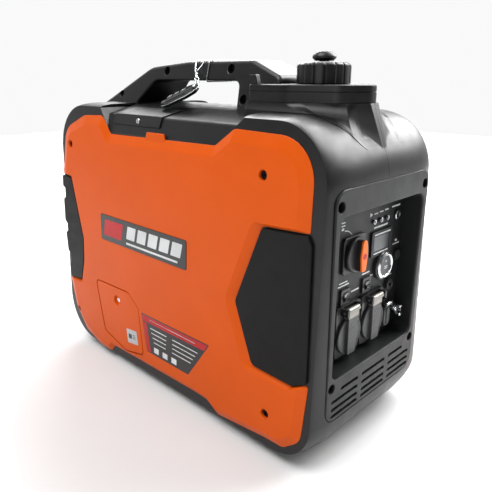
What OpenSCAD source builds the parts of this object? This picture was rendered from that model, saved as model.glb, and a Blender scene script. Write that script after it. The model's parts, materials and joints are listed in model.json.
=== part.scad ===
// Portable inverter generator in a suitcase casing.
// +X is the control panel end, -Y the near side, +Z up. Z = 0 is the floor under the feet,
// Y = 0 is the parting plane of the two casing halves.

/* [Casing] */
// Length over the two end faces
body_l = 586; // [576:2:600]
// Width of the casing at floor level, without the side covers
base_w = 266; // [262:1:270]
// Height of the flat top
top_z = 438; // [434:1:442]
// Lean of each side wall, in degrees
draft = 2.7; // [2.4:0.1:3]
// Thickness of the moulded walls
wall = 3; // [2.5:0.5:3.5]
// How far a side cover stands proud of the casing
cover_t = 6; // [5:0.5:7]

/* [Control panel] */
// Width of the recess that holds the controls
recess_w = 191; // [189:1:193]
// Height of the recess
recess_h = 205; // [203:1:207]
// Depth from the end face to the panel
recess_d = 29; // [28:1:30]

/* [Controls] */
// Radius of the engine switch's dial
switch_r = 23; // [21:1:24]
// Radius of the start button
button_r = 13.5; // [12:0.5:14]
// Radius of a mains socket's lid
lid_r = 26; // [25:0.5:26.5]
// Travel of the start button
start_travel = 2.5; // [2:0.5:3]

/* [Fuel filler] */
// Radius of the fuel cap
cap_r = 34; // [32:1:35]
// Height of the fuel cap
cap_h = 26; // [24:1:27]
// Number of grip lobes on the fuel cap
cap_lobes = 8; // [7:1:9]

/* [Handle] */
// Width of the handle across the two halves
handle_w = 84; // [80:2:88]
// Height of the handle's top edge above the floor
handle_z = 498; // [494:1:500]

/* [Hidden] */
$fn = 48;

half_l = body_l / 2;
half_base = base_w / 2;
floor_z = 8;                      // underside of the casing above the floor
panel_x = half_l - recess_d;      // front face of the control panel
plate_t = 3;                      // thickness of the end plates
frame_w = 212;                    // width of an end plate
frame_z = [67, 361];              // lower and upper edge of the face frame
rear_z = [92, 340];               // lower and upper edge of the rear cover
recess_z = [124, 124 + recess_h]; // floor and ceiling of the recess
slot_rows = [106.7, 94.5, 83.5, 74];
frame_screw_y = 96.6;
frame_screw_z = [115.4, 342];
cover_screws = [[-248, 367], [199, 369], [-252, 62], [219, 64]];
handle_screws = [[-201, 450], [-85, 485], [57, 487], [90, 447]];
handle_top_w = handle_w - 24;     // width at the handle's top edge
tail_half = 44;                   // half width of the handle's tail over the collar
handle_lean = 0.265;              // sideways run of the handle's faces per unit of drop
hole_r = 6.2;                     // access hole over a case screw
screw_r = 5;                      // head of a case screw
cap_x = 190;                      // axis of the fuel filler
collar_z = [447, 468];
neck_r = 24.9;
knob_z = 495.5;
shaft_gap = 0.05;                 // radial running clearance
switch_y = -25;
switch_z = 266;
start_y = 50;
start_z = 232;
bezel_r = 21;
socket_y = [-32, 25];             // centres of the two mains sockets
socket_z = 158;
lid_pin_z = 195;
lid_pin_x = panel_x + 11;
dc_y = 63;
dc_z = 154;
dc_pin_z = 172;
stud_y = 83.5;
stud_z = 158;
breaker_y = [-38, 11];
breaker_z = [211.5, 214];
reset_y = 70;
reset_z = 198;
rotor_x = 112;                    // middle of the alternator
crank_z = 150;                    // crankshaft height
grip_x = 112;
grip_z = 262;
loop_x = 12;                      // wire loop round the handle bar
key_hang = [-9, -38.5, 485];      // hanging point of the keys
fob_ring = [5, -50, 462];         // upper end of the key fob
key_drop = fob_ring - key_hang;
fob_size = [66, 28, 11];
service_hole = [-119, 118];
service_path = [[-184, 140, 8], [-84, 142.5, 12], [-57, 122, 8], [-45, 44, 8], [-96, 34, 6], [-160, 50, 10]];

orange = "#e56311";
black = "#232323";
grey = "#454545";
steel = "#b9bcc0";

// ---- outlines -------------------------------------------------------------

// Arc that rounds corner b of the path a-b-c with radius r
function corner(a, b, c, r, steps = 6) =
  r == 0 ? [b] :
  let (u = (a - b) / norm(a - b),
       v = (c - b) / norm(c - b),
       half = acos(u * v) / 2,
       centre = b + (u + v) / norm(u + v) * r / sin(half),
       start = b + u * r / tan(half) - centre,
       stop = b + v * r / tan(half) - centre,
       first = atan2(start.y, start.x),
       sweep = (atan2(stop.y, stop.x) - first + 540) % 360 - 180)
  [for (i = [0:steps]) centre + r * [cos(first + sweep * i / steps), sin(first + sweep * i / steps)]];

// Closed outline whose corners are given as [x, y, radius]
function rounded(path) =
  let (count = len(path), flat = [for (p = path) [p.x, p.y]])
  [for (i = [0:count - 1])
    each corner(flat[(i + count - 1) % count], flat[i], flat[(i + 1) % count], path[i][2])];

function box_path(x0, y0, x1, y1, r) = [[x0, y0, r], [x1, y0, r], [x1, y1, r], [x0, y1, r]];

// Side outline of the casing, drawn in by g
function casing_path(g) = [
  [half_l - g, floor_z + g, 62 - g], [half_l - g, top_z - g, 80 - g],
  [-half_l + g, top_z - g, 80 - g], [-half_l + g, floor_z + g, 80 - g]];

cover_path = [
  [-128, 392, 8], [-150, 419, 12], [-205, 417, 60], [-270, 392, 40], [-288, 311, 4],
  [-253, 309, 3], [-222, 205, 20], [-224, 165, 20], [-236, 122, 4], [-283, 118, 4],
  [-266, 62, 30], [-232, 26, 14], [-186, 12, 20], [-150, 12, 4], [-138, 26, 4],
  [76, 31, 20], [104, 30, 12], [128, 17, 8], [216, 26, 4], [248, 27, 14], [274, 48, 26],
  [281, 131, 4], [258, 119, 4], [190, 121, 10], [156, 201, 10], [198, 308, 8],
  [269, 312, 3], [269, 415, 74], [146, 418, 14], [112, 395, 8], [12, 394, 2],
  [8, 402, 2], [-32, 402, 2], [-36, 393, 2]];
front_insert_path = [
  [279, 131, 4], [258, 120.5, 4], [191, 122.5, 10], [157.5, 201, 10], [199, 306.5, 8],
  [268, 310, 3], [274, 300, 3]];
rear_insert_path = [
  [-287, 309, 3], [-254.5, 307.5, 3], [-223.5, 205, 20], [-225.5, 165, 20], [-237, 123.5, 4],
  [-281, 119.5, 4]];

// ---- helpers --------------------------------------------------------------

// Side outline swept across the width
module side_prism(path, y0, y1) {
  translate([0, y1, 0]) rotate([90, 0, 0]) linear_extrude(y1 - y0) polygon(rounded(path));
}

// Outline in the Y-Z plane swept along the length
module end_prism(path, x0, x1) {
  translate([x0, 0, 0]) rotate([90, 0, 90]) linear_extrude(x1 - x0) polygon(rounded(path));
}

// Places a child, drawn upright at the near side's floor line, on the leaning near wall
module near_lean() {
  rotate([-draft, 0, 0]) translate([0, 0, -half_base * sin(draft)]) children();
}

// Plate on the near wall, from out0 to out1 beyond the casing
module near_plate(path, out0, out1) {
  near_lean() side_prism(path, -half_base - out1, -half_base - out0);
}

module x_rod(r, x0, x1, y, z) {
  translate([x0, y, z]) rotate([0, 90, 0]) cylinder(h = x1 - x0, r = r);
}

module y_rod(r, y0, y1, x, z) {
  translate([x, y1, z]) rotate([90, 0, 0]) cylinder(h = y1 - y0, r = r);
}

module block(x0, x1, y0, y1, z0, z1) {
  translate([x0, y0, z0]) cube([x1 - x0, y1 - y0, z1 - z0]);
}

module far() {
  mirror([0, 1, 0]) children();
}

// ---- casing ---------------------------------------------------------------

// Near half of the casing's envelope, drawn in by g
module half_envelope(g) {
  plan = [[-half_l + g, 60, 0], [-half_l + g, -half_base + g, 14], [half_l - g, -half_base + g, 14],
    [half_l - g, 60, 0]];
  saddle_side = [[-129, 391, 8], [-156, 430, 0], [-156, 470, 0], [160, 470, 0], [160, 430, 0],
    [113, 393, 8]];
  saddle_end = [[-160, 386, 0], [-114 + g, 393 - g, 0], [-102 + g, 421 - g, 0], [-46, top_z - 5 - g, 0],
    [1, top_z - g, 0], [1, 470, 0], [-160, 470, 0]];
  difference() {
    intersection() {
      near_lean() translate([0, 0, -30]) linear_extrude(520) polygon(rounded(plan));
      side_prism(casing_path(g), -200, 0);
    }
    intersection() {
      side_prism(saddle_side, -200, 20);
      end_prism(saddle_end, -200, 200);
    }
  }
}

// Pedestal under the tank collar, near half, drawn in by g
module half_pedestal(g) {
  rise = [[112 + g, 400, 0], [293 - g, 362 - 3 * g, 0], [267 - g, collar_z[0] - g, 0],
    [112 + g, collar_z[0] - g, 0]];
  plan = [[112 + g, 0, 0], [112 + g, -63 + g, 6], [175, -62 + g, 60], [250, -34 + g, 40],
    [292 - g, -16 + g / 2, 12], [292 - g, 0, 0]];
  skirt_rise = [[112 + g, 400, 0], [293 - g, 362 - 3 * g, 0], [288 - g, 402 - g, 0],
    [276 - g / 2, 417 - g, 0], [236, 438 - g, 0], [200, 441 - g, 0], [112 + g, 441 - g, 0]];
  skirt_plan = [[112 + g, 0, 0], [112 + g, -66 + g, 6], [234, -64 + g, 30], [270, -53 + g, 24],
    [289 - g, -26 + g / 2, 14], [293 - g, 0, 0]];
  intersection() {
    side_prism(rise, -80, 0);
    translate([0, 0, 300]) linear_extrude(200) polygon(rounded(plan));
  }
  intersection() {
    side_prism(skirt_rise, -80, 0);
    translate([0, 0, 300]) linear_extrude(200) polygon(rounded(skirt_plan));
  }
}

module half_shell() {
  difference() {
    union() {
      half_envelope(0);
      half_pedestal(0);
    }
    half_envelope(wall);
    half_pedestal(wall);
    end_prism(box_path(-frame_w / 2, frame_z[0], frame_w / 2, frame_z[1], 18), half_l - 9, half_l + 5);
    end_prism(box_path(-frame_w / 2, rear_z[0], frame_w / 2, rear_z[1], 18), -half_l - 5, -half_l + 9);
    block(-210, 215, -112, 0, floor_z - 1, floor_z + 4);
    translate([cap_x, 0, 420]) cylinder(h = 40, r = neck_r + 6);
  }
}

module near_shell() {
  color(black) difference() {
    half_shell();
    block(-118, -20, -94, -72, 410, 450);
    near_lean() for (p = cover_screws) y_rod(screw_r / 2 + 0.1, -half_base - 3, -half_base + 9, p.x, p.y);
  }
}

module far_shell() {
  color(black) difference() {
    union() {
      far() half_shell();
      block(grip_x - 37, grip_x + 37, 98, 119, grip_z - 20, grip_z + 20);
    }
    block(grip_x - 34, grip_x + 34, 101, 150, grip_z - 17, grip_z + 17);
    y_rod(5, 90, 110, grip_x, grip_z);
    far() near_lean() for (p = cover_screws)
      y_rod(screw_r / 2 + 0.1, -half_base - 3, -half_base + 9, p.x, p.y);
  }
}

module side_cover() {
  difference() {
    near_plate(cover_path, 0, cover_t);
    near_lean() for (p = cover_screws) y_rod(hole_r, -half_base - cover_t - 2, -half_base + 1, p.x, p.y);
  }
}

module near_cover() {
  color(orange) difference() {
    side_cover();
    near_plate(service_path, 2.9, cover_t + 3);
    near_lean() y_rod(4, -half_base - cover_t, -half_base + 1, service_hole.x, service_hole.y);
  }
}

module far_cover() {
  color(orange) difference() {
    far() side_cover();
    block(grip_x - 34, grip_x + 34, 90, 150, grip_z - 17, grip_z + 17);
  }
}

module near_front_insert() {
  color(black) near_plate(front_insert_path, 0, cover_t - 1.5);
}

module near_rear_insert() {
  color(black) near_plate(rear_insert_path, 0, cover_t - 1.5);
}

module far_front_insert() {
  color(black) far() near_plate(front_insert_path, 0, cover_t - 1.5);
}

module far_rear_insert() {
  color(black) far() near_plate(rear_insert_path, 0, cover_t - 1.5);
}

module base_tray() {
  color(black) difference() {
    block(-210, 215, -112, 112, floor_z, floor_z + 4);
    for (x = [-150, 150], y = [-60, 0, 60]) translate([x, y, 0]) cylinder(h = 20, r = 12);
  }
}

module rubber_feet() {
  color(black) for (x = [-170, 175], y = [-88, 88]) translate([x, y, 0])
    cylinder(h = floor_z, r = 17);
}

// ---- ends -----------------------------------------------------------------

module face_frame() {
  rim = 2.5;
  half_w = recess_w / 2;
  color(grey) difference() {
    union() {
      end_prism(box_path(-frame_w / 2, frame_z[0], frame_w / 2, frame_z[1], 18), half_l - plate_t, half_l);
      end_prism(box_path(-half_w - rim, recess_z[0] - rim, half_w + rim, recess_z[1] + rim, 14),
        panel_x, half_l - plate_t);
      for (y = [-frame_screw_y, frame_screw_y], z = frame_screw_z)
        x_rod(hole_r + 2, half_l - 15, half_l - plate_t, y, z);
    }
    end_prism(box_path(-half_w, recess_z[0], half_w, recess_z[1], 12), panel_x - 1, half_l + 1);
    for (y = [-frame_screw_y, frame_screw_y], z = frame_screw_z)
      x_rod(hole_r, half_l - 11, half_l + 1, y, z);
    for (i = [0:3], column = [-1:1]) {
      inner = column == 0 ? -28 : 38;
      outer = column == 0 ? 28 : (i == 0 ? 76 : 95);
      y0 = column < 0 ? -outer : inner;
      y1 = column < 0 ? -inner : outer;
      block(half_l - plate_t - 1, half_l + 1, y0, y1, slot_rows[i] - 2.2, slot_rows[i] + 2.2);
    }
  }
}

module control_panel() {
  half_w = recess_w / 2 + 2.5;
  color(grey) difference() {
    end_prism(box_path(-half_w, recess_z[0] - 2.5, half_w, recess_z[1] + 2.5, 14), panel_x - 3, panel_x);
    for (y = socket_y) x_rod(21, panel_x - 9, panel_x + 9, y, socket_z);
    x_rod(8, panel_x - 9, panel_x + 9, dc_y, dc_z);
    x_rod(6, panel_x - 9, panel_x + 9, switch_y, switch_z);
    x_rod(button_r + 3, panel_x - 9, panel_x + 9, start_y, start_z);
    x_rod(4, panel_x - 9, panel_x + 9, reset_y, reset_z);
    for (i = [0, 1]) block(panel_x - 9, panel_x + 9, breaker_y[i] - 7, breaker_y[i] + 7,
      breaker_z[i] - 7, breaker_z[i] + 7);
  }
}

module rear_cover() {
  color(black) difference() {
    end_prism(box_path(-frame_w / 2, rear_z[0], frame_w / 2, rear_z[1], 18), -half_l, -half_l + plate_t);
    for (i = [0:9]) block(-half_l - 1, -half_l + plate_t + 1, -10, 80, 122 + 18 * i, 128 + 18 * i);
    x_rod(24, -half_l - 1, -half_l + plate_t + 1, -55, 180);
  }
}

module exhaust_outlet() {
  color("silver") difference() {
    union() {
      x_rod(15, -half_l + 1, -half_l + 40, -55, 180);
      x_rod(28, -half_l + plate_t, -half_l + 6, -55, 180);
    }
    x_rod(11, -half_l - 1, -half_l + 41, -55, 180);
  }
}

// ---- handle ---------------------------------------------------------------

// Half width of the handle's leaning face at height z
function handle_half(z) = handle_top_w / 2 + (handle_z - z) * handle_lean;

module half_handle() {
  outer = [[-262, 395, 0], [-262, 428, 10], [-128, 491, 50], [-40, handle_z, 80], [96, handle_z, 16],
    [150, 477, 10], [150, 395, 0]];
  window = [[-152, 415, 0], [-150, 441, 2], [-112, 471, 26], [76, 471, 8], [82, 415, 0]];
  tail_gap = [[108, 380, 0], [108, collar_z[1] + 0.4, 0], [160, collar_z[1] + 0.4, 0], [160, 380, 0]];
  section = [[-handle_half(395), 395, 0], [-handle_half(handle_z), handle_z, 6], [0, handle_z, 0],
    [0, 395, 0]];
  difference() {
    intersection() {
      side_prism(outer, -handle_w, 0);
      end_prism(section, -300, 200);
    }
    side_prism(window, -handle_w, 10);
    side_prism(tail_gap, -handle_w, 10);
    block(108, 160, -handle_w, -tail_half, 380, handle_z + 2);
    half_envelope(0);
    for (p = handle_screws) y_rod(hole_r, -handle_w, -handle_half(p.y) + 9, p.x, p.y);
  }
}

module near_handle_half() {
  color(black) half_handle();
}

module far_handle_half() {
  color(black) far() half_handle();
}

// ---- top ------------------------------------------------------------------

module half_collar(g, z0, z1) {
  plan = [[116 + g, 0, 0], [116 + g, -62 + g, 6], [175, -61 + g, 50], [243, -38 + g, 30],
    [268 - g, 0, 0]];
  translate([0, 0, z0]) linear_extrude(z1 - z0) polygon(rounded(plan));
}

module tank_collar() {
  upstand = [[116, collar_z[1] - 1, 0], [131, collar_z[1] - 1, 0], [127, 479.5, 0], [116, 479.5, 0]];
  color(black) difference() {
    union() {
      for (m = [0, 1]) mirror([0, m, 0]) half_collar(0, collar_z[0], collar_z[1]);
      for (s = [-1, 1]) side_prism(upstand, s * 54 - 4, s * 54 + 4);
    }
    translate([0, 0, -0.1]) for (m = [0, 1]) mirror([0, m, 0]) half_collar(wall, collar_z[0], collar_z[1] - 4);
    translate([cap_x, 0, 400]) cylinder(h = 100, r = neck_r + 1.5);
  }
}

module fuel_cap() {
  base_z = collar_z[1] + 0.4;
  color(black) difference() {
    union() {
      translate([cap_x, 0, base_z]) cylinder(h = cap_h, r = cap_r - 4);
      for (i = [0:cap_lobes - 1]) translate([cap_x, 0, base_z]) rotate([0, 0, i * 360 / cap_lobes])
        translate([cap_r - 11, 0, 0]) cylinder(h = cap_h - 2, r = 11);
    }
    translate([cap_x, 0, base_z - 1]) cylinder(h = 21, r = neck_r + shaft_gap);
    translate([cap_x, 0, base_z]) cylinder(h = 40, r = 6 + shaft_gap);
  }
}

module vent_knob() {
  color(black) union() {
    translate([cap_x, 0, knob_z - 7]) cylinder(h = 8, r = 6);
    translate([cap_x, 0, knob_z]) rotate_extrude() polygon([[0, 0], [12, 0], [15, 2.5], [15, 6],
      [12.5, 9.5], [9, 11.5], [0, 11.5]]);
  }
}

module plug_hatch() {
  skin = [[-109.8, 407.8, 0], [-103.4, 422.7, 2], [-66.4, 430.8, 0], [-66, 428.8, 0], [-102, 421, 0],
    [-108.1, 407, 0]];
  color(black) difference() {
    end_prism(skin, -127, -10);
    y_rod(4, -130, -95, -63, 414);
  }
}

module slotted_screw(x, z, y0, y1) {
  difference() {
    y_rod(3.8, y0, y1, x, z);
    block(x - 0.7, x + 0.7, y0 - 1, y0 + 1, z - 5, z + 5);
  }
}

module slotted_screws() {
  color(steel) {
    slotted_screw(-63, 414, -108.5, -106.5);
    near_lean() slotted_screw(service_hole.x, service_hole.y, -half_base - 2.8, -half_base);
  }
}

module service_cover() {
  inner = [[-182.5, 138.5, 7], [-84.5, 141, 12], [-58.5, 121, 8], [-46.7, 45.5, 7], [-96, 35.8, 6],
    [-159, 51, 9]];
  color(orange) difference() {
    near_plate(inner, 3, cover_t + 0.2);
    near_lean() y_rod(8, -half_base - 20, -half_base + 5, service_hole.x, service_hole.y);
  }
}

module badge_plate() {
  color(black) near_plate(box_path(-158, 218, 63, 261.5, 3), cover_t, cover_t + 1);
}

module case_screw() {
  difference() {
    union() {
      cylinder(h = 2.5, r = screw_r);
      translate([0, 0, -8]) cylinder(h = 8.5, r = screw_r / 2);
    }
    translate([0, 0, 1]) cylinder(h = 3, r = 2.2, $fn = 6);
  }
}

module case_screws() {
  color(steel) {
    for (side = [0, 1]) mirror([0, side, 0]) {
      near_lean() for (p = cover_screws) translate([p.x, -half_base, p.y]) rotate([90, 0, 0]) case_screw();
    }
    for (y = [-frame_screw_y, frame_screw_y], z = frame_screw_z)
      translate([half_l - 11, y, z]) rotate([0, 90, 0]) cylinder(h = 3, r = screw_r);
    for (p = handle_screws) translate([p.x, -handle_half(p.y) + 9, p.y]) rotate([90, 0, 0])
      cylinder(h = 3, r = screw_r);
  }
}

// ---- controls -------------------------------------------------------------

module switch_base() {
  color(black) difference() {
    union() {
      end_prism(box_path(switch_y - 24, switch_z - 24, switch_y + 24, switch_z + 24, 5),
        panel_x, panel_x + 4);
      x_rod(5.8, panel_x - 14, panel_x + 1, switch_y, switch_z);
    }
    x_rod(3 + shaft_gap, panel_x - 20, panel_x + 9, switch_y, switch_z);
  }
}

module switch_dial() {
  x0 = panel_x + 4.3;
  color(black) union() {
    x_rod(switch_r, x0, x0 + 6, switch_y, switch_z);
    x_rod(3, panel_x - 10, x0 + 1, switch_y, switch_z);
  }
  color(orange) side_grip(x0 + 6);
}

// Upright grip bar across the dial, narrower towards its ends
module side_grip(x0) {
  intersection() {
    x_rod(switch_r - 1, x0 - 1, x0 + 8.5, switch_y, switch_z);
    end_prism([[switch_y - 4.5, switch_z - 30, 0], [switch_y - 7.5, switch_z, 20],
      [switch_y - 4.5, switch_z + 30, 0], [switch_y + 4.5, switch_z + 30, 0],
      [switch_y + 7.5, switch_z, 20], [switch_y + 4.5, switch_z - 30, 0]], x0 - 1, x0 + 8.5);
  }
}

module meter() {
  color(black) difference() {
    end_prism(box_path(16, 249, 68, 284, 3), panel_x, panel_x + 3);
    end_prism(box_path(22, 256, 60, 277, 1), panel_x + 2, panel_x + 4);
    x_rod(bezel_r + 0.2, panel_x - 1, panel_x + 4, start_y, start_z);
  }
}

module indicator_lamps() {
  color("white") {
    for (y = [20.6, 36.6, 52.6]) x_rod(3, panel_x, panel_x + 2.5, y, 298);
    difference() {
      x_rod(6.5, panel_x, panel_x + 3, 79, 297);
      x_rod(4, panel_x + 1, panel_x + 5, 79, 297);
    }
  }
}

module start_bezel() {
  color(steel) difference() {
    union() {
      x_rod(bezel_r, panel_x, panel_x + 8, start_y, start_z);
      x_rod(button_r + 2.5, panel_x - 12, panel_x + 1, start_y, start_z);
    }
    x_rod(button_r + 0.1, panel_x - 20, panel_x + 9, start_y, start_z);
  }
}

module start_button() {
  color(grey) x_rod(button_r, panel_x - 8, panel_x + 7, start_y, start_z);
}

// A frame with the window that its rocker turns in
module breaker_frame(y, z) {
  difference() {
    union() {
      end_prism(box_path(y - 10, z - 10.5, y + 10, z + 10.5, 2), panel_x, panel_x + 3);
      block(panel_x - 14, panel_x, y - 6.8, y + 6.8, z - 6.8, z + 6.8);
    }
    block(panel_x - 12, panel_x + 9, y - 5.5, y + 5.5, z - 6.2, z + 6.2);
  }
}

module breaker_bodies() {
  color(black) {
    for (i = [0, 1]) breaker_frame(breaker_y[i], breaker_z[i]);
    difference() {
      union() {
        x_rod(8, panel_x, panel_x + 5, reset_y, reset_z);
        x_rod(3.9, panel_x - 9, panel_x + 1, reset_y, reset_z);
      }
      x_rod(2.5 + shaft_gap, panel_x - 20, panel_x + 9, reset_y, reset_z);
    }
  }
}

module rocker(y, z) {
  color(black) union() {
    y_rod(5.4, y - 5, y + 5, panel_x - 0.5, z);
    translate([panel_x - 0.5, y, z]) rotate([0, 14, 0]) block(0, 7, -5, 5, -2, 2);
  }
}

module left_breaker_rocker() {
  rocker(breaker_y[0], breaker_z[0]);
}

module right_breaker_rocker() {
  rocker(breaker_y[1], breaker_z[1]);
}

module reset_button() {
  color(black) x_rod(2.5, panel_x - 8, panel_x + 8, reset_y, reset_z);
}

module usb_cover() {
  color(black) x_rod(7.5, panel_x, panel_x + 4, 86, 238);
}

// Earthed mains socket: square face, round well and two pin holes, with ears for the lid's pin
module socket(y) {
  half = 27;
  ear = 13.6;
  color(black) difference() {
    union() {
      end_prism(box_path(y - half, 130, y + half, lid_pin_z + 5.5, 4), panel_x, panel_x + 5);
      x_rod(20.8, panel_x - 20, panel_x + 1, y, socket_z);
      for (s = [-1, 1]) translate([0, s * (ear + 2.2), 0])
        end_prism(box_path(y - 2, lid_pin_z - 5, y + 2, lid_pin_z + 5, 0), panel_x + 4, lid_pin_x + 5);
    }
    x_rod(18.5, panel_x - 15, panel_x + 9, y, socket_z);
    for (s = [-1, 1]) x_rod(2.4, panel_x - 30, panel_x + 9, y + s * 9.5, socket_z);
    y_rod(1.5 + shaft_gap, y - 40, y + 40, lid_pin_x, lid_pin_z);
  }
}

module left_socket() {
  socket(socket_y[0]);
}

module right_socket() {
  socket(socket_y[1]);
}

module socket_lid(y) {
  x0 = panel_x + 5.4;
  color(grey) difference() {
    union() {
      x_rod(lid_r, x0, x0 + 3.5, y, socket_z);
      block(x0, x0 + 7.5, y - 10.5, y + 10.5, socket_z - lid_r + 1, lid_pin_z - 3);
      y_rod(4.2, y - 13.2, y + 13.2, lid_pin_x, lid_pin_z);
    }
    y_rod(1.5 + shaft_gap, y - 40, y + 40, lid_pin_x, lid_pin_z);
  }
}

module left_lid() {
  socket_lid(socket_y[0]);
}

module right_lid() {
  socket_lid(socket_y[1]);
}

module lid_hinge_pins() {
  color(steel) {
    for (y = socket_y) y_rod(1.5, y - 18.5, y + 18.5, lid_pin_x, lid_pin_z);
    y_rod(1.2, dc_y - 9, dc_y + 9, panel_x + 8, dc_pin_z);
  }
}

module dc_outlet() {
  color(black) difference() {
    union() {
      end_prism(box_path(dc_y - 9.5, 136, dc_y + 9.5, 178, 8), panel_x, panel_x + 4);
      x_rod(7.8, panel_x - 14, panel_x + 1, dc_y, dc_z);
      for (s = [-1, 1]) block(panel_x + 3, panel_x + 11, dc_y + s * 7.7 - 1.2, dc_y + s * 7.7 + 1.2,
        dc_pin_z - 3, dc_pin_z + 3);
    }
    x_rod(6, panel_x - 11, panel_x + 9, dc_y, dc_z);
    y_rod(1.2 + shaft_gap, dc_y - 12, dc_y + 12, panel_x + 8, dc_pin_z);
  }
}

module dc_lid() {
  x0 = panel_x + 4.4;
  color(grey) difference() {
    union() {
      end_prism(box_path(dc_y - 8, 138, dc_y + 8, 168, 7), x0, x0 + 4);
      block(x0, x0 + 4, dc_y - 6, dc_y + 6, 160, 171);
      y_rod(3, dc_y - 6.1, dc_y + 6.1, panel_x + 8, dc_pin_z);
    }
    y_rod(1.2 + shaft_gap, dc_y - 12, dc_y + 12, panel_x + 8, dc_pin_z);
  }
}

module ground_stud() {
  color(steel) x_rod(2.5, panel_x, panel_x + 18, stud_y, stud_z);
}

module wing_nut() {
  x0 = panel_x + 5;
  color(steel) difference() {
    union() {
      x_rod(5, x0, x0 + 7, stud_y, stud_z);
      for (s = [-1, 1]) translate([0, s * 7, 0])
        end_prism(box_path(stud_y - 3.4, stud_z - 2 + 0.5, stud_y + 3.4, stud_z + 2, 1), x0 + 2, x0 + 14);
    }
    x_rod(2.5 + shaft_gap, x0 - 1, x0 + 20, stud_y, stud_z);
  }
}

// ---- inside ---------------------------------------------------------------

module fuel_tank() {
  color("dimgray") difference() {
    union() {
      block(60, 246, -98, 98, 348, 398);
      block(118, 214, -42, 42, 397, 436);
      translate([cap_x, 0, 430]) cylinder(h = 56, r = neck_r);
    }
    block(63, 243, -95, 95, 351, 395);
    block(121, 211, -39, 39, 394, 433);
    translate([cap_x, 0, 430]) cylinder(h = 60, r = neck_r - 3);
  }
}

module engine_block() {
  color("silver") difference() {
    union() {
      block(-62, 58, -52, 52, 78, 212);
      for (i = [0:8]) block(-50, 46, -46, 46, 214 + 8 * i, 218 + 8 * i);
      block(-32, 28, -28, 28, 211, 290);
      block(-44, 40, -40, 40, 285, 304);
    }
    x_rod(12 + shaft_gap, -80, 80, 0, crank_z);
    translate([-2, 0, 300]) cylinder(h = 10, r = 5.9);
  }
}

module spark_plug() {
  color("white") union() {
    translate([-2, 0, 300]) cylinder(h = 24, r = 5.8);
    translate([-2, 0, 304]) cylinder(h = 8, r = 9, $fn = 6);
  }
}

module carburettor() {
  color("silver") difference() {
    union() {
      y_rod(16, -84, -46.4, -2, 255);
      translate([-2, -66, 222]) cylinder(h = 30, r = 15);
    }
    y_rod(9, -85, -46, -2, 255);
  }
}

module air_filter_box() {
  color(black) difference() {
    block(-50, 46, -106, -84.2, 215, 300);
    block(-47, 43, -103, -87, 218, 297);
    y_rod(9, -90, -80, -2, 255);
  }
}

module muffler() {
  color("silver") difference() {
    union() {
      side_prism(box_path(-240, 110, -90, 250, 24), -78, 60);
      x_rod(10.8, -262, -239, -55, 180);
      x_rod(12, -91, -62.2, 0, 200);
    }
    side_prism(box_path(-237, 113, -93, 247, 22), -75, 57);
    x_rod(8, -270, -236, -55, 180);
    x_rod(9, -95, -60, 0, 200);
  }
}

module stator() {
  color("#b06a30") difference() {
    union() {
      x_rod(52, rotor_x - 20, rotor_x + 20, 0, crank_z);
      x_rod(25, 58, rotor_x, 0, crank_z);
    }
    x_rod(20, 57, rotor_x + 21, 0, crank_z);
    for (i = [0:11]) translate([0, 0, crank_z]) rotate([i * 30, 0, 0]) block(rotor_x - 21, rotor_x + 21,
      -3, 3, 30, 49);
  }
}

module rotor_fan() {
  color("dimgray") difference() {
    union() {
      x_rod(66, rotor_x - 28, rotor_x + 30, 0, crank_z);
      x_rod(12, -70, rotor_x + 46, 0, crank_z);
      for (i = [0:9]) translate([0, 0, crank_z]) rotate([i * 36, 0, 0]) block(rotor_x + 29, rotor_x + 43,
        -2, 2, 14, 64);
    }
    difference() {
      x_rod(58, rotor_x - 29, rotor_x + 25, 0, crank_z);
      x_rod(12, rotor_x - 30, rotor_x + 30, 0, crank_z);
    }
  }
}

module recoil_housing() {
  color(black) difference() {
    union() {
      x_rod(76, rotor_x + 50, rotor_x + 56, 0, crank_z);
      for (i = [0:3]) translate([0, 0, crank_z]) rotate([45 + 90 * i, 0, 0]) block(58.2, rotor_x + 51, -5, 5, 70, 76);
    }
    x_rod(20, rotor_x + 49, rotor_x + 60, 0, crank_z);
    for (i = [0:11]) translate([0, 0, crank_z]) rotate([i * 30, 0, 0]) block(rotor_x + 49, rotor_x + 57,
      -4, 4, 30, 62);
  }
}

module inverter_module() {
  color("silver") {
    block(196, 222, -86, 86, 80, 330);
    for (i = [0:16]) block(189, 196.5, -84 + 10.5 * i - 1.5, -84 + 10.5 * i + 1.5, 82, 328);
  }
}

module starter_battery() {
  color(black) block(-120, -20, -100, -60, floor_z + 4, 64);
}

module engine_mounts() {
  color(black) for (x = [-48, 44], y = [-38, 38]) translate([x, y, floor_z + 4]) cylinder(h = 66, r = 13);
}

module recoil_grip() {
  color(black) union() {
    block(grip_x - 29, grip_x + 29, 116, 126, grip_z - 12, grip_z + 12);
    y_rod(6, 106, 117, grip_x, grip_z);
    y_rod(2.2, -90, 107, grip_x, grip_z);
  }
}

// ---- keys -----------------------------------------------------------------

// Straight wire between two points
module wire(a, b, r) {
  run = b - a;
  translate(a) rotate([0, acos(run.z / norm(run)), atan2(run.y, run.x)]) cylinder(h = norm(run), r = r);
}

module ring(r, wire_r) {
  rotate_extrude() translate([r, 0]) circle(r = wire_r);
}

// Loop of flat wire that hugs the handle bar
module bar_loop(x, gap, t) {
  low = 471 - gap;
  high = handle_z + gap;
  inner = [[-handle_half(low) - gap, low, 0], [-handle_half(high) - gap, high, 5],
    [handle_half(high) + gap, high, 5], [handle_half(low) + gap, low, 0]];
  outer = [[-handle_half(low) - gap - t, low - t, 1.5], [-handle_half(high) - gap - t, high + t, 6],
    [handle_half(high) + gap + t, high + t, 6], [handle_half(low) + gap + t, low - t, 1.5]];
  difference() {
    end_prism(outer, x - 0.9, x + 0.9);
    end_prism(inner, x - 2, x + 2);
  }
}

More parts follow.
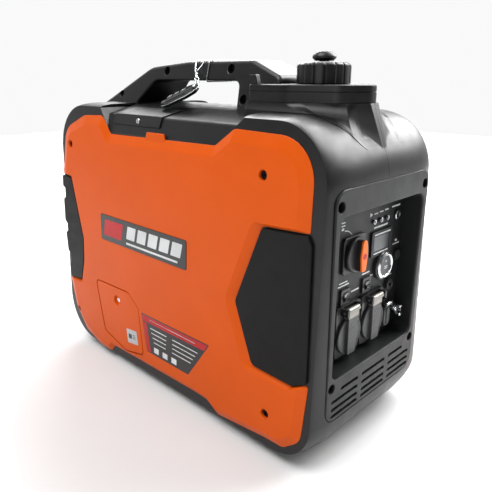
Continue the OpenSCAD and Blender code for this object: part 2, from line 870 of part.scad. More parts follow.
module key_loops() {
  color(steel) {
    bar_loop(loop_x, 0.4, 1.4);
    for (s = [-1, 1]) {
      intersection() {
        bar_loop(key_hang.x + 8 * s, 0.4, 1.4);
        block(-60, 60, -31, 60, key_hang.z, handle_z + 10);
      }
      wire([key_hang.x + 8 * s, -30.5, handle_z + 1], [key_hang.x + 3 * s, key_hang.y, key_hang.z], 0.8);
    }
    wire([key_hang.x - 3.6, key_hang.y, key_hang.z], [key_hang.x + 3.6, key_hang.y, key_hang.z], 0.9);
  }
}

module key_chain() {
  color(steel) union() {
    translate(key_hang) rotate([0, 90, 0]) ring(3.8, 0.9);
    wire(key_hang + key_drop * 0.12, key_hang + key_drop * 0.45, 2.2);
    wire(key_hang + key_drop * 0.4, fob_ring, 1.1);
    translate(key_hang + key_drop * 0.6) rotate([0, 60, 40]) ring(3.2, 1);
  }
}

module remote_fob() {
  length = fob_size.x;
  color(black) difference() {
    translate(fob_ring) rotate([0, 0, 16.4]) rotate([0, -21.6, 0]) rotate([25, 0, 0])
      translate([-length / 2, 0, 0]) difference() {
        intersection() {
          translate([0, 0, -fob_size.z / 2]) linear_extrude(fob_size.z)
            polygon(rounded(box_path(-length / 2, -fob_size.y / 2, length / 2, fob_size.y / 2, 11)));
          translate([0, 0, -60 + fob_size.z / 2]) rotate([0, 90, 0])
            cylinder(h = 2 * length, r = 60, center = true);
        }
        for (i = [0:2]) translate([-16 + 14 * i, 0, fob_size.z / 2 - 0.8]) cylinder(h = 2, r = 4.4);
      }
    wire(key_hang + key_drop * 0.4, fob_ring + key_drop * 0.02, 1.15);
  }
}

base_tray();
rubber_feet();
near_shell();
far_shell();
near_cover();
far_cover();
near_front_insert();
near_rear_insert();
far_front_insert();
far_rear_insert();
face_frame();
control_panel();
rear_cover();
exhaust_outlet();
near_handle_half();
far_handle_half();
case_screws();
tank_collar();
plug_hatch();
slotted_screws();
service_cover();
badge_plate();
switch_base();
meter();
indicator_lamps();
start_bezel();
breaker_bodies();
usb_cover();
left_socket();
right_socket();
lid_hinge_pins();
dc_outlet();
ground_stud();
fuel_tank();
engine_block();
spark_plug();
carburettor();
air_filter_box();
muffler();
stator();
inverter_module();
starter_battery();
recoil_housing();
engine_mounts();
fuel_cap();
vent_knob();
switch_dial();
start_button();
left_breaker_rocker();
right_breaker_rocker();
reset_button();
left_lid();
right_lid();
dc_lid();
wing_nut();
rotor_fan();
recoil_grip();
key_loops();
key_chain();
remote_fob();
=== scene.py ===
"""Looks of a suitcase inverter generator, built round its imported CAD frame."""

import json
import math

import bmesh
import bpy
from mathutils import Matrix, Vector

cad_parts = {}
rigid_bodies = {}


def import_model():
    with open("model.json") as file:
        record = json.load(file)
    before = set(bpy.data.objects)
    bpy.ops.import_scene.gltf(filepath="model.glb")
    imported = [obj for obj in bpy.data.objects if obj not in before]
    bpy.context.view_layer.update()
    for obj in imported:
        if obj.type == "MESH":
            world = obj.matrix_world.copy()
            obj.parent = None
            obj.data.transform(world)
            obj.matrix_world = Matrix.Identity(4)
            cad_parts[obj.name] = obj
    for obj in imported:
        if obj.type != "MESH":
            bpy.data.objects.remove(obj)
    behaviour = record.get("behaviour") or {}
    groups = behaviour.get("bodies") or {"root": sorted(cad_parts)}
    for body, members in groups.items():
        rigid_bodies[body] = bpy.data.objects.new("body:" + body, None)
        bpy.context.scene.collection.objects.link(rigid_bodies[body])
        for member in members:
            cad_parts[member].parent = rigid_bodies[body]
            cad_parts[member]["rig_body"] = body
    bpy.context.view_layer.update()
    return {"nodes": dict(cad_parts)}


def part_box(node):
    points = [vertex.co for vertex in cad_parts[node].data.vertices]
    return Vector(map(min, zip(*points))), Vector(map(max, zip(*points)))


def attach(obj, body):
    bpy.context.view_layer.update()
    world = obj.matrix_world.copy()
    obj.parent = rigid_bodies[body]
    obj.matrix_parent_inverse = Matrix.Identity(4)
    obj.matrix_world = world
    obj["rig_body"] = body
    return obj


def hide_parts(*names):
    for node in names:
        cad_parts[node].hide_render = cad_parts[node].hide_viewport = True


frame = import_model()

bl_info = {
    "name": "Inverter generator",
    "version": (1, 0, 0),
    "blender": (4, 5, 0),
    "location": "3D View > Sidebar > Generator",
    "description": "Builds the shells, covers, controls and keys of a suitcase generator",
    "category": "Object",
}

MM = 0.001
ARC_STEPS = 9                    # facets in each rounded corner of an outline

# Driving sizes, in millimetres, read from the frame where a node gives them
CASING_LOW, CASING_HIGH = (corner * 1000 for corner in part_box("near_shell"))
HALF_L = CASING_HIGH.x
HALF_BASE = 133.0                # half width of the casing at floor level
DRAFT = math.radians(2.7)
FLOOR_Z = CASING_LOW.z
TOP_Z = 438.0
SHOULDER = 80.0                  # radius of the casing's upper corners, seen from the side
WALL = 3.0
PANEL_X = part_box("control_panel")[1].x * 1000
HANDLE_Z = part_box("near_handle_half")[1].z * 1000
HANDLE_TOP_HALF = 30.0
HANDLE_LEAN = 0.265
CAP_X = 190.0
COLLAR_LOW, COLLAR_TOP = 447.0, 468.0
RECESS = (95.5, 124.0, 329.0)    # half width, floor and ceiling of the control recess
FRAME_HALF, FRAME_LOW, FRAME_HIGH = 106.0, 67.0, 361.0
REAR_LOW, REAR_HIGH = 92.0, 340.0
SWITCH = (-25.0, 266.0)
START = (50.0, 232.0)
SOCKETS = {"left": -32.0, "right": 25.0}
SOCKET_Z = 158.0
LID_PIN = (PANEL_X + 11, 195.0)
DC = (63.0, 154.0)
DC_PIN = (PANEL_X + 8, 172.0)
STUD = (83.5, 158.0)
GRIP = (112.0, 262.0)
KEY_HANG = Vector((-9, -38.5, 485))
FOB_RING = Vector((5, -50, 462))
COVER_SCREWS = [(-248, 367), (199, 369), (-252, 62), (219, 64)]
HANDLE_SCREWS = [(-201, 450), (-85, 485), (57, 487), (90, 447)]
FRAME_SCREWS = [(y, z) for y in (-96.6, 96.6) for z in (115.4, 342)]
SERVICE_HOLE = (-119, 118)


# ---- outlines: a corner is (u, v, radius) in millimetres ---------------------------------------

def casing_path(g=0.0):
    """Side outline of the casing, drawn in by g."""
    return [
        (HALF_L - g, FLOOR_Z + g, 62 - g), (HALF_L - g, TOP_Z - g, SHOULDER - g),
        (-HALF_L + g, TOP_Z - g, SHOULDER - g), (-HALF_L + g, FLOOR_Z + g, 80 - g)]


COVER_PATH = [
    (-128, 392, 8), (-150, 419, 14), (-205, 417, 60), (-270, 392, 40), (-288, 311, 4),
    (-253, 309, 3), (-222, 205, 20), (-224, 165, 20), (-236, 122, 4), (-283, 118, 4),
    (-266, 62, 30), (-232, 26, 14), (-186, 12, 20), (-150, 12, 4), (-138, 26, 4),
    (76, 31, 20), (104, 30, 12), (128, 17, 8), (216, 26, 4), (248, 27, 14), (274, 48, 26),
    (281, 131, 4), (258, 119, 4), (190, 121, 10), (156, 201, 10), (198, 308, 8),
    (269, 312, 3), (269, 415, 74), (146, 418, 14), (112, 395, 8)]
# Width of the sloping band along each edge of the cover, in the outline's order
COVER_BANDS = [
    12, 16, 16, 16, 3, 3, 3, 3, 3, 16, 14, 14, 10, 8, 8, 8, 8, 10, 10, 12, 12, 2, 6, 14, 14, 4,
    16, 16, 12, 14]
TAB_PATH = [(-36, 388, 1), (12, 388, 1), (8, 401.5, 3), (-32, 401.5, 3)]
FRONT_INSERT_PATH = [
    (279, 131, 4), (258, 120.5, 4), (191, 122.5, 10), (157.5, 201, 10), (199, 306.5, 8),
    (268, 310, 3), (274, 300, 3)]
REAR_INSERT_PATH = [
    (-287, 309, 3), (-254.5, 307.5, 3), (-223.5, 205, 20), (-225.5, 165, 20), (-237, 123.5, 4),
    (-277, 120, 3), (-279, 144, 2), (-272, 149, 2), (-273, 165, 2), (-282, 169, 2),
    (-286, 203, 2), (-279, 208, 2), (-280, 221, 2), (-287, 226, 2), (-287, 266, 2),
    (-280, 270, 2), (-280, 286, 2), (-287, 289, 2)]
SERVICE_PATH = [
    (-184, 140, 8), (-84, 142.5, 12), (-57, 122, 8), (-45, 44, 8), (-96, 34, 6), (-160, 50, 10)]


def rectangle(u0, v0, u1, v1, radius):
    """Rectangle between two corners."""
    return [(u0, v0, radius), (u1, v0, radius), (u1, v1, radius), (u0, v1, radius)]


def around(centre, half_u, half_v, radius):
    """Rectangle about a centre."""
    u, v = centre
    return rectangle(u - half_u, v - half_v, u + half_u, v + half_v, radius)


def end_plate(low, high, grown=0.0):
    """Outline of an end plate between two heights, grown outwards."""
    return rectangle(-FRAME_HALF - grown, low - grown, FRAME_HALF + grown, high + grown, 18)


def turn_sign(path):
    """+1 for an anticlockwise outline, -1 for a clockwise one."""
    area = sum(a[0] * b[1] - b[0] * a[1] for a, b in zip(path, path[1:] + path[:1]))
    return 1 if area > 0 else -1


def inset(path, distance):
    """The outline moved inwards by distance: one number, or one for each edge in order."""
    sign = turn_sign(path)
    reach = distance if isinstance(distance, (list, tuple)) else [distance] * len(path)
    moved = []
    for i, (u, v, radius) in enumerate(path):
        here = Vector((u, v))
        before = (here - Vector(path[i - 1][:2])).normalized()
        after = (Vector(path[(i + 1) % len(path)][:2]) - here).normalized()
        n1 = Vector((-before.y, before.x)) * sign
        n2 = Vector((-after.y, after.x)) * sign
        d1, d2 = reach[i - 1], reach[i]
        turn = n1.x * n2.y - n1.y * n2.x
        if abs(turn) < 0.08:
            corner = here + (n1 + n2) * (d1 + d2) / 2 / (1 + n1.dot(n2))
        else:
            corner = here + Vector((d1 * n2.y - d2 * n1.y, d2 * n1.x - d1 * n2.x)) / turn
        least = min(d1, d2, key=abs)
        grown = max(radius - least, 0.3 * radius) if turn * sign > 0 else radius + least
        moved.append((corner.x, corner.y, max(grown, 0.05)))
    return moved


def rounded(path, steps=ARC_STEPS):
    """Points of a closed outline, with steps + 1 of them round each corner."""
    points = []
    for i, (u, v, radius) in enumerate(path):
        here = Vector((u, v))
        to_last = Vector(path[i - 1][:2]) - here
        to_next = Vector(path[(i + 1) % len(path)][:2]) - here
        room = 0.48 * min(to_last.length, to_next.length)
        a, b = to_last.normalized(), to_next.normalized()
        half = a.angle(b) / 2
        reach = min(max(radius, 0.01) / math.tan(half), room)
        radius = reach * math.tan(half)
        centre = here + (a + b).normalized() * radius / math.sin(half)
        start, stop = here + a * reach - centre, here + b * reach - centre
        first = math.atan2(start.y, start.x)
        sweep = (math.atan2(stop.y, stop.x) - first + 3 * math.pi) % (2 * math.pi) - math.pi
        for step in range(steps + 1):
            angle = first + sweep * step / steps
            points.append(centre + radius * Vector((math.cos(angle), math.sin(angle))))
    return points


def rolled_edge(radius, top, base, steps=5):
    """Profile of (inset, height) pairs: up from base and over a rounded edge to top."""
    arc = [(radius * (1 - math.cos(a)), top - radius * (1 - math.sin(a)))
           for a in (math.pi / 2 * s / steps for s in range(steps + 1))]
    return [(0.0, base)] + arc


# ---- where a flat drawing sits on the machine --------------------------------------------------

def near_side(u, v, out):
    """u along, v up and out proud of the leaning near wall."""
    reach = HALF_BASE + out
    rise = v - HALF_BASE * math.sin(DRAFT)
    return Vector((u, rise * math.sin(DRAFT) - reach * math.cos(DRAFT),
                   rise * math.cos(DRAFT) + reach * math.sin(DRAFT)))


def far_side(u, v, out):
    """The same place on the far wall."""
    near = near_side(u, v, out)
    return Vector((near.x, -near.y, near.z))


def front_end(u, v, out):
    """u across, v up and out along +X."""
    return Vector((out, u, v))


def rear_end(u, v, out):
    """u across, v up and out along -X."""
    return Vector((-out, u, v))


def upright(u, v, out):
    """u along, v up and out towards -Y."""
    return Vector((u, -out, v))


def level(u, v, out):
    """u along, v across and out upwards."""
    return Vector((u, v, out))


# ---- mesh making -------------------------------------------------------------------------------

MATERIALS = {}                   # every finish by name, filled in by make_materials


def add_object(name, points, faces, material=None):
    """A mesh object from points in millimetres, with its seams closed and its normals outwards."""
    mesh = bpy.data.meshes.new(name)
    mesh.from_pydata([p * MM for p in points], [], faces)
    mesh.validate()
    clean = bmesh.new()
    clean.from_mesh(mesh)
    bmesh.ops.remove_doubles(clean, verts=clean.verts, dist=1e-6)
    bmesh.ops.recalc_face_normals(clean, faces=clean.faces)
    clean.to_mesh(mesh)
    clean.free()
    piece = bpy.data.objects.new(name, mesh)
    bpy.context.scene.collection.objects.link(piece)
    if material is not None:
        mesh.materials.append(MATERIALS[material])
    return piece


def skin_rings(name, rings, material=None, closed_loop=False, caps=(True, True)):
    """Skins a run of closed rings with equal point counts into one solid."""
    count = len(rings[0])
    points = [p for ring in rings for p in ring]
    faces = []
    pairs = len(rings) if closed_loop else len(rings) - 1
    for r in range(pairs):
        low, high = r * count, ((r + 1) % len(rings)) * count
        for i in range(count):
            j = (i + 1) % count
            faces.append((low + i, low + j, high + j, high + i))
    if not closed_loop:
        if caps[0]:
            faces.append(tuple(range(count))[::-1])
        if caps[1]:
            faces.append(tuple(range((len(rings) - 1) * count, len(rings) * count)))
    return add_object(name, points, faces, material)


def slab(name, path, profile, place, material=None, steps=ARC_STEPS):
    """A plate drawn as an outline, with its edge shaped by (inset, height) pairs."""
    rings = [[place(p.x, p.y, out) for p in rounded(inset(path, drawn_in), steps)]
             for drawn_in, out in profile]
    return skin_rings(name, rings, material)


def turned(name, centre, axis, profile, material=None, sides=64, swell=None, bored=False):
    """A turned piece: (radius, along) pairs about an axis; swell(angle, radius) scales the radius.

    A bored piece takes the pairs as a closed section, so it is a ring.
    """
    turn = Vector(axis).to_track_quat("Z", "Y").to_matrix()
    rings = []
    for radius, along in profile:
        ring = []
        for s in range(sides):
            angle = 2 * math.pi * s / sides
            reach = radius * (swell(angle, radius) if swell else 1)
            ring.append(Vector(centre) + turn @ Vector((reach * math.cos(angle),
                                                        reach * math.sin(angle), along)))
        rings.append(ring)
    return skin_rings(name, rings, material, closed_loop=bored)


def wire(name, points, radius, material, closed=False, smooth=True):
    """A bent wire through points, as a curve with a round section."""
    curve = bpy.data.curves.new(name, "CURVE")
    curve.dimensions = "3D"
    curve.bevel_depth = radius * MM
    curve.bevel_resolution = 4
    curve.use_fill_caps = True
    spline = curve.splines.new("NURBS" if smooth else "POLY")
    spline.points.add(len(points) - 1)
    for point, place in zip(spline.points, points):
        point.co = (*(Vector(place) * MM), 1)
    spline.use_cyclic_u = closed
    if smooth:
        spline.use_endpoint_u = not closed
        spline.order_u = 3
    curve.materials.append(MATERIALS[material])
    piece = bpy.data.objects.new(name, curve)
    bpy.context.scene.collection.objects.link(piece)
    return piece


def joined(name, parts):
    """Joins meshes into one, keeping each one's material."""
    materials = []
    joint = bmesh.new()
    for part in parts:
        start = len(joint.faces)
        joint.from_mesh(part.data)
        joint.faces.ensure_lookup_table()
        slots = []
        for material in part.data.materials:
            if material not in materials:
                materials.append(material)
            slots.append(materials.index(material))
        for face in joint.faces[start:]:
            face.material_index = slots[face.material_index] if slots else 0
        bpy.data.objects.remove(part)
    mesh = bpy.data.meshes.new(name)
    joint.to_mesh(mesh)
    joint.free()
    for material in materials:
        mesh.materials.append(material)
    piece = bpy.data.objects.new(name, mesh)
    bpy.context.scene.collection.objects.link(piece)
    return piece


def combine(piece, tool, operation="DIFFERENCE"):
    """Cuts, fuses or intersects piece with tool, and uses the tool up."""
    modifier = piece.modifiers.new("combine", "BOOLEAN")
    modifier.operation = operation
    modifier.solver = "EXACT"
    modifier.object = tool
    bpy.context.view_layer.update()
    shaped = piece.evaluated_get(bpy.context.evaluated_depsgraph_get())
    mesh = bpy.data.meshes.new_from_object(shaped)
    piece.modifiers.clear()
    piece.data = mesh
    bpy.data.objects.remove(tool)
    return piece


def drill(name, spots, place, radius, low, high, mouth=1.2):
    """Round cutters with a flared mouth at height high."""
    profile = [(0.0, low), (0.0, high - mouth), (-mouth * 0.3, high - mouth * 0.4), (-mouth, high),
               (-mouth, high + 3)]
    sides = 28
    circle = [(math.cos(a), math.sin(a)) for a in (2 * math.pi * i / sides for i in range(sides))]
    tools = []
    for u, v in spots:
        rings = [[place(u + x * (radius - drawn_in), v + y * (radius - drawn_in), out) for x, y in circle]
                 for drawn_in, out in profile]
        tools.append(skin_rings(name, rings))
    return joined(name, tools)


def coat(piece, material):
    """Gives the whole piece one material."""
    piece.data.materials.clear()
    piece.data.materials.append(MATERIALS[material])


def smooth(piece, angle=28):
    """Smooth shading that keeps creases sharper than angle, with flats kept flat."""
    mesh = piece.data
    mesh.polygons.foreach_set("use_smooth", [True] * len(mesh.polygons))
    mesh.set_sharp_from_angle(angle=math.radians(angle))
    weighted = piece.modifiers.new("flat_faces", "WEIGHTED_NORMAL")
    weighted.keep_sharp = True
    weighted.weight = 80
    return piece


def settle(piece, body, slot, *nodes, angle=28):
    """Finishes a piece: shading, body and the CAD nodes it stands for. The slot argument is not used."""
    if piece.type == "MESH":
        smooth(piece, angle)
    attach(piece, body)
    if nodes:
        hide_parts(*nodes)
    return piece


def soften(node, width, slot, angle=32, extra=()):
    """A copy of a CAD node with its edges rounded off by width millimetres."""
    mesh = frame["nodes"][node].data.copy()
    piece = bpy.data.objects.new(node.replace("case_", "cover_").title().replace("_", ""), mesh)
    bpy.context.scene.collection.objects.link(piece)
    coat(piece, slot)
    weld = piece.modifiers.new("weld", "WELD")
    weld.merge_threshold = 2e-5
    bevel = piece.modifiers.new("rounded_edges", "BEVEL")
    bevel.width = width * MM
    bevel.segments = 2
    bevel.limit_method = "ANGLE"
    bevel.angle_limit = math.radians(angle)
    bevel.use_clamp_overlap = True
    return settle(piece, frame["nodes"][node]["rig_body"], slot, node, *extra)


# ---- materials ---------------------------------------------------------------------------------

def linear(code):
    """sRGB hex code to the linear colour that shaders take."""
    channels = [int(code[i:i + 2], 16) / 255 for i in (1, 3, 5)]
    return (*(c / 12.92 if c <= 0.04045 else ((c + 0.055) / 1.055) ** 2.4 for c in channels), 1.0)


def add(tree, kind, sockets=None, **settings):
    """Adds a shader node; sockets maps an input to a value or to the output that feeds it."""
    node = tree.nodes.new(kind)
    for name, value in settings.items():
        setattr(node, name, value)
    for socket, value in (sockets or {}).items():
        if isinstance(value, bpy.types.NodeSocket):
            tree.links.new(value, node.inputs[socket])
        else:
            node.inputs[socket].default_value = value
    return node


def ramp(tree, factor, low, high, start, stop):
    """Two-colour ramp from start to stop of a factor."""
    node = add(tree, "ShaderNodeValToRGB", {"Fac": factor})
    node.color_ramp.elements[0].position = start
    node.color_ramp.elements[0].color = low
    node.color_ramp.elements[1].position = stop
    node.color_ramp.elements[1].color = high
    return node.outputs["Color"]


def finish(name, code, rough, grain, depth, metallic=0.0, mottle=0.12, stretch=(1, 1, 1),
           scuff=0.05, sheen=0.5):
    """A worn surface: mottled colour, uneven gloss, and a grain of the given size and depth in mm."""
    material = bpy.data.materials.new(name)
    material.use_nodes = True
    tree = material.node_tree
    tree.nodes.clear()
    place = add(tree, "ShaderNodeTexCoord").outputs["Object"]
    drawn = add(tree, "ShaderNodeMapping", {"Vector": place, "Scale": stretch}).outputs["Vector"]
    fine = add(tree, "ShaderNodeTexNoise", {"Vector": drawn, "Scale": 1000 / grain, "Detail": 2.0})
    wide = add(tree, "ShaderNodeTexNoise", {"Vector": place, "Scale": 14.0, "Detail": 5.0})
    marks = add(tree, "ShaderNodeTexNoise", {"Vector": drawn, "Scale": 60.0, "Detail": 8.0})
    base = linear(code)
    dark = (*(c * (1 - mottle) for c in base[:3]), 1)
    light = (*(min(1, c * (1 + mottle) + 0.002) for c in base[:3]), 1)
    colour = ramp(tree, wide.outputs["Fac"], dark, light, 0.3, 0.7)
    gloss = add(tree, "ShaderNodeMapRange", {
        "Value": marks.outputs["Fac"], "From Min": 0.3, "From Max": 0.7,
        "To Min": rough - scuff, "To Max": rough + scuff}).outputs["Result"]
    bump = add(tree, "ShaderNodeBump", {
        "Height": fine.outputs["Fac"], "Distance": depth * MM, "Strength": 1.0}).outputs["Normal"]
    principled = add(tree, "ShaderNodeBsdfPrincipled", {
        "Base Color": colour, "Roughness": gloss, "Metallic": metallic, "Normal": bump,
        "Specular IOR Level": sheen})
    add(tree, "ShaderNodeOutputMaterial", {"Surface": principled.outputs["BSDF"]})
    MATERIALS[name] = material
    return material


def make_materials(look):
    """Every finish on the machine, by the record's slot names and a few of the scene's own."""
    # Moulded ABS off a fine-sparked tool: semi-gloss, soft-edged highlights, grain under 1 mm
    finish("casing_plastic", look.casing_colour_code, 0.36, 0.9, 0.03, sheen=0.36)
    # ABS moulded in colour and polished on the tool: satin, nearly even, faint orange peel of 4 mm
    finish("orange_cover", look.cover_colour_code, 0.38, 4.0, 0.03, mottle=0.03, sheen=0.14)
    # Same ABS off a coarse-sparked tool: dull and sandy. Its black is set darker than the casing's as painted
    # shade on these side-facing wedges
    finish("insert_plastic", "#080808", 0.5, 0.7, 0.06, sheen=0.18)
    # Glass-filled nylon, matt, greyer where it has been handled
    finish("panel_plastic", "#121314", 0.46, 0.8, 0.04, mottle=0.15, sheen=0.32)
    # Polycarbonate fittings with a light grain
    finish("socket_plastic", "#1b1b1c", 0.4, 0.6, 0.03)
    # The lids' outer skins are a shade lighter than the bodies
    finish("lid_plastic", "#3a3b3c", 0.45, 0.6, 0.04)
    # Cured rubber: no clear highlight, powdery bloom
    finish("rubber_parts", "#161616", 0.72, 0.8, 0.08)
    # Nickel-plated steel, lightly brushed: sharp reflections with hairlines
    finish("bright_steel", "#d5d7d9", 0.18, 0.3, 0.004, metallic=1.0, mottle=0.05, stretch=(1, 1, 6))
    # Black-oxide steel: dark, oily, dull
    finish("dark_steel", "#1d1d1e", 0.45, 0.5, 0.01, metallic=1.0)
    # Vacuum-metallised button face, darker than the ring
    finish("button_face", "#4a4b4d", 0.42, 0.4, 0.02)
    # Tinted acrylic lens, moulded against a polished tool: dark and glassy with a small highlight
    finish("lamp_lens", "#2a2d30", 0.1, 2.0, 0.01, mottle=0.05)
    # Piano-black fob: mirror-like with faint pocket scratches
    finish("fob_gloss", "#0c0c0d", 0.12, 3.0, 0.006, scuff=0.06)
    # Pressed mild steel, heat-dulled
    finish("sheet_steel", "#8f8c86", 0.42, 0.5, 0.02, metallic=1.0, mottle=0.2, stretch=(1, 8, 1))
    # Sand-cast aluminium: pitted, cloudy
    finish("cast_aluminium", "#b3b5b6", 0.5, 1.5, 0.2, metallic=1.0)
    # Glazed ceramic insulator
    finish("ceramic", "#e9e7e0", 0.15, 5.0, 0.01, mottle=0.04)
    # Enamelled copper wire wound round the teeth: fine turns
    finish("copper_winding", "#8a4a20", 0.3, 1.2, 0.3, metallic=0.9, stretch=(6, 1, 1))
    # Machined cast iron with turning marks
    finish("rotor_iron", "#5c5d5f", 0.4, 0.6, 0.05, metallic=1.0, stretch=(8, 1, 1))
    # Blow-moulded polyethylene, waxy
    finish("tank_plastic", "#3d3d3c", 0.5, 3.0, 0.1)
    # Orange knob moulding, as the covers but matt
    finish("knob_orange", "#f06a0c", 0.45, 1.0, 0.02, mottle=0.04, sheen=0.32)
    # Red pad-printed ink, thin and even: a satin film
    finish("red_paint", "#a80c12", 0.4, 1.0, 0.02, mottle=0.08, sheen=0.32)
    # Screen print: flat white ink, slightly broken up
    finish("white_print", "#c9cbcc", 0.6, 0.5, 0.02, mottle=0.2)
    # Black polyester film, over-laminated: smooth, a little glossy
    finish("label_black", "#161617", 0.3, 1.0, 0.01)
    # Silvered polyester film, printed and cut: pale and slightly cloudy
    finish("label_silver", "#a9abad", 0.35, 1.0, 0.01, mottle=0.15)
    # Acrylic window over the meter, moulded clear on grey: flat with a soft reflection
    finish("meter_glass", "#3c4043", 0.2, 2.0, 0.006)
    # Studio paper roll: matt, pale
    finish("studio_floor", "#d2d2d2", 0.85, 2.0, 0.01, mottle=0.005)


# ---- pieces ------------------------------------------------------------------------------------

def prism(path, place, low, high, steps=ARC_STEPS):
    """A plain cutter from low to high, with no rounded edge."""
    return slab("cutter", path, [(0.0, low), (0.0, high)], place, steps=steps)


def block(x0, x1, y0, y1, z0, z1):
    """A plain box cutter."""
    return prism(rectangle(x0, y0, x1, y1, 0.01), level, z0, z1, steps=1)


def wall_rings(gap):
    """Rings of the casing: a crisp edge on each side wall, then a crowned skin across the width."""
    skin = [(7.4, 0.0), (6.6, -0.2), (6.1, -0.9), (4.6, -5.0), (3.0, -12.0), (1.6, -22.0),
            (0.6, -36.0), (0.0, -52.0)]
    ring = [(drawn_in + gap, out - gap) for drawn_in, out in skin]
    near = [[near_side(p.x, p.y, out) for p in rounded(casing_path(g), 24)] for g, out in ring]
    far = [[Vector((p.x, -p.y, p.z)) for p in loop] for loop in reversed(near)]
    middle = [[Vector((p.x, 0, p.y)) for p in rounded(casing_path(gap), 24)]]
    return near + middle + far


def shoulder_z(x):
    """Height of the casing's top surface at x."""
    run = min(max(abs(x) - (HALF_L - SHOULDER), 0), SHOULDER - 0.5)
    return TOP_Z - SHOULDER + math.sqrt(SHOULDER ** 2 - run ** 2)


def pedestal(gap=0.0):
    """Pedestal under the tank collar: upright below the collar, then flaring into the shoulder."""
    top = [(112, -63, 6), (190, -61, 60), (252, -28, 24), (265.5, -9, 4), (265.5, 9, 4), (252, 28, 24),
           (190, 61, 60), (112, 63, 6)]
    foot = [(112, -66, 6), (240, -66, 60), (279, -44, 24), (291.2, -3, 2), (291.2, 3, 2), (279, 44, 24),
            (240, 66, 60), (112, 66, 6)]
    upper = rounded(inset(top, gap), 20)
    lower = rounded(inset(foot, gap), 20)
    rings = []
    steps = 12
    for s in range(steps + 1):
        share = s / steps
        ring = []
        for p, q in zip(upper, lower):
            sunk = shoulder_z(q.x + gap) - 1.2 - gap
            spot = p.lerp(q, share ** (0.95 + 0.6 * min(1, abs(q.y) / 40)))
            ring.append(Vector((spot.x, spot.y, COLLAR_LOW - gap + (sunk - COLLAR_LOW + gap) * share)))
        rings.append(ring)
    rings.append([Vector((q.x, q.y, 350)) for q in lower])
    return skin_rings("pedestal", rings)


def saddle():
    """Cutter for the sunk top under the handle."""
    side = [(-129, 391, 8), (-156, 430, 1), (-156, 470, 1), (160, 470, 1), (160, 430, 1), (113, 393, 8)]
    end = [
        (-160, 386, 1), (-114, 393, 3), (-102, 421, 6), (-46, 433, 10), (0, 438, 30), (46, 433, 10),
        (102, 421, 6), (114, 393, 3), (160, 386, 1), (160, 470, 1), (-160, 470, 1)]
    tool = prism(side, upright, -200, 200)
    return combine(tool, prism(end, front_end, -200, 200), "INTERSECT")


def casing_solid():
    """The outside of the closed casing, both halves, without its pedestal's bore."""
    solid = skin_rings("casing", wall_rings(0.0))
    combine(solid, saddle())
    return combine(solid, pedestal(), "UNION")


def make_casing():
    """Hollow casing, cut for the plates, filler, hatch and recoil grip, then split along the seam."""
    solid = casing_solid()
    cavity = skin_rings("cavity", wall_rings(WALL))
    hollow_saddle = saddle()
    hollow_saddle.data.transform(Matrix.Translation(Vector((0, 0, -WALL * MM))))
    combine(cavity, hollow_saddle)
    combine(cavity, pedestal(WALL), "UNION")
    combine(solid, cavity)
    seam = 0.5
    combine(solid, prism(end_plate(FRAME_LOW, FRAME_HIGH, seam), front_end, HALF_L - 9, HALF_L + 9))
    combine(solid, prism(end_plate(REAR_LOW, REAR_HIGH, seam), front_end, -HALF_L - 9, -HALF_L + 9))
    combine(solid, block(-210, 215, -112, 112, FLOOR_Z - 2, FLOOR_Z + 6))
    combine(solid, prism(around((CAP_X, 0), 31, 31, 30.9), level, 425, 470))
    combine(solid, block(-118, -20, -94, -72, 410, 450))
    combine(solid, prism(around(GRIP, 34, 17, 6), upright, -160, -116))
    far_cup = prism(around(GRIP, 37, 20, 8), upright, -119, -98)
    combine(far_cup, prism(around(GRIP, 34, 17, 6), upright, -125, -101))
    combine(solid, far_cup, "UNION")
    bore = turned("bore", (GRIP[0], 90, GRIP[1]), (0, 1, 0), [(5, 0), (5, 20)], sides=32)
    combine(solid, bore)
    other = solid.copy()
    other.data = solid.data.copy()
    bpy.context.scene.collection.objects.link(other)
    split = 0.2
    for half, name, low, high in ((solid, "NearCasing", -split, 200), (other, "FarCasing", -200, split)):
        combine(half, block(-400, 400, low, high, -50, 600))
        half.name = name
        coat(half, "casing_plastic")
        settle(half, "casing", "casing_plastic", name[:-6].lower() + "_shell")


def make_cover(side, name, node):
    """Side cover with a sloping band round its outline, and a small tab at the top."""
    levels = [(0.0, 0.05), (0.0, 0.5), (0.02, 0.9), (0.06, 1.2), (0.97, 5.8), (1.0, 5.92), (1.06, 6.0)]
    rings = [[side(p.x, p.y, out) for p in rounded(inset(COVER_PATH, [k * b for b in COVER_BANDS]))]
             for k, out in levels]
    cover = skin_rings(name, rings, "orange_cover")
    combine(cover, drill("holes", COVER_SCREWS, side, 6.2, -1, 6.0))
    tab = slab("tab", TAB_PATH, [(0, 0.1), (0, 1.6), (0.5, 2.1), (1.2, 2.3)], side, "orange_cover")
    if node == "near_cover":
        combine(cover, prism(inset(SERVICE_PATH, -0.7), side, 2.9, 12))
        combine(cover, drill("hole", [SERVICE_HOLE], side, 4, -1, 3.2, mouth=0.2))
    else:
        combine(cover, slab("cutter", around(GRIP, 34, 17, 6), [(0, -110), (0, -136), (-2, -139.5)], upright))
    settle(joined(name, [cover, tab]), "casing", "orange_cover", node)


def make_inserts(side, where):
    """Black inserts at both ends of a cover."""
    for name, path in (("FrontInsert", FRONT_INSERT_PATH), ("RearInsert", REAR_INSERT_PATH)):
        profile = [(0, 0.05), (0, 3.2), (0.6, 4.1), (1.6, 4.5)]
        # The inserts' black, darker than the casing's, is painted shade
        plate = slab(where.title() + name, path, profile, side, "insert_plastic", steps=5)
        node = f"{where}_{'front' if path is FRONT_INSERT_PATH else 'rear'}_insert"
        settle(plate, "casing", "insert_plastic", node)


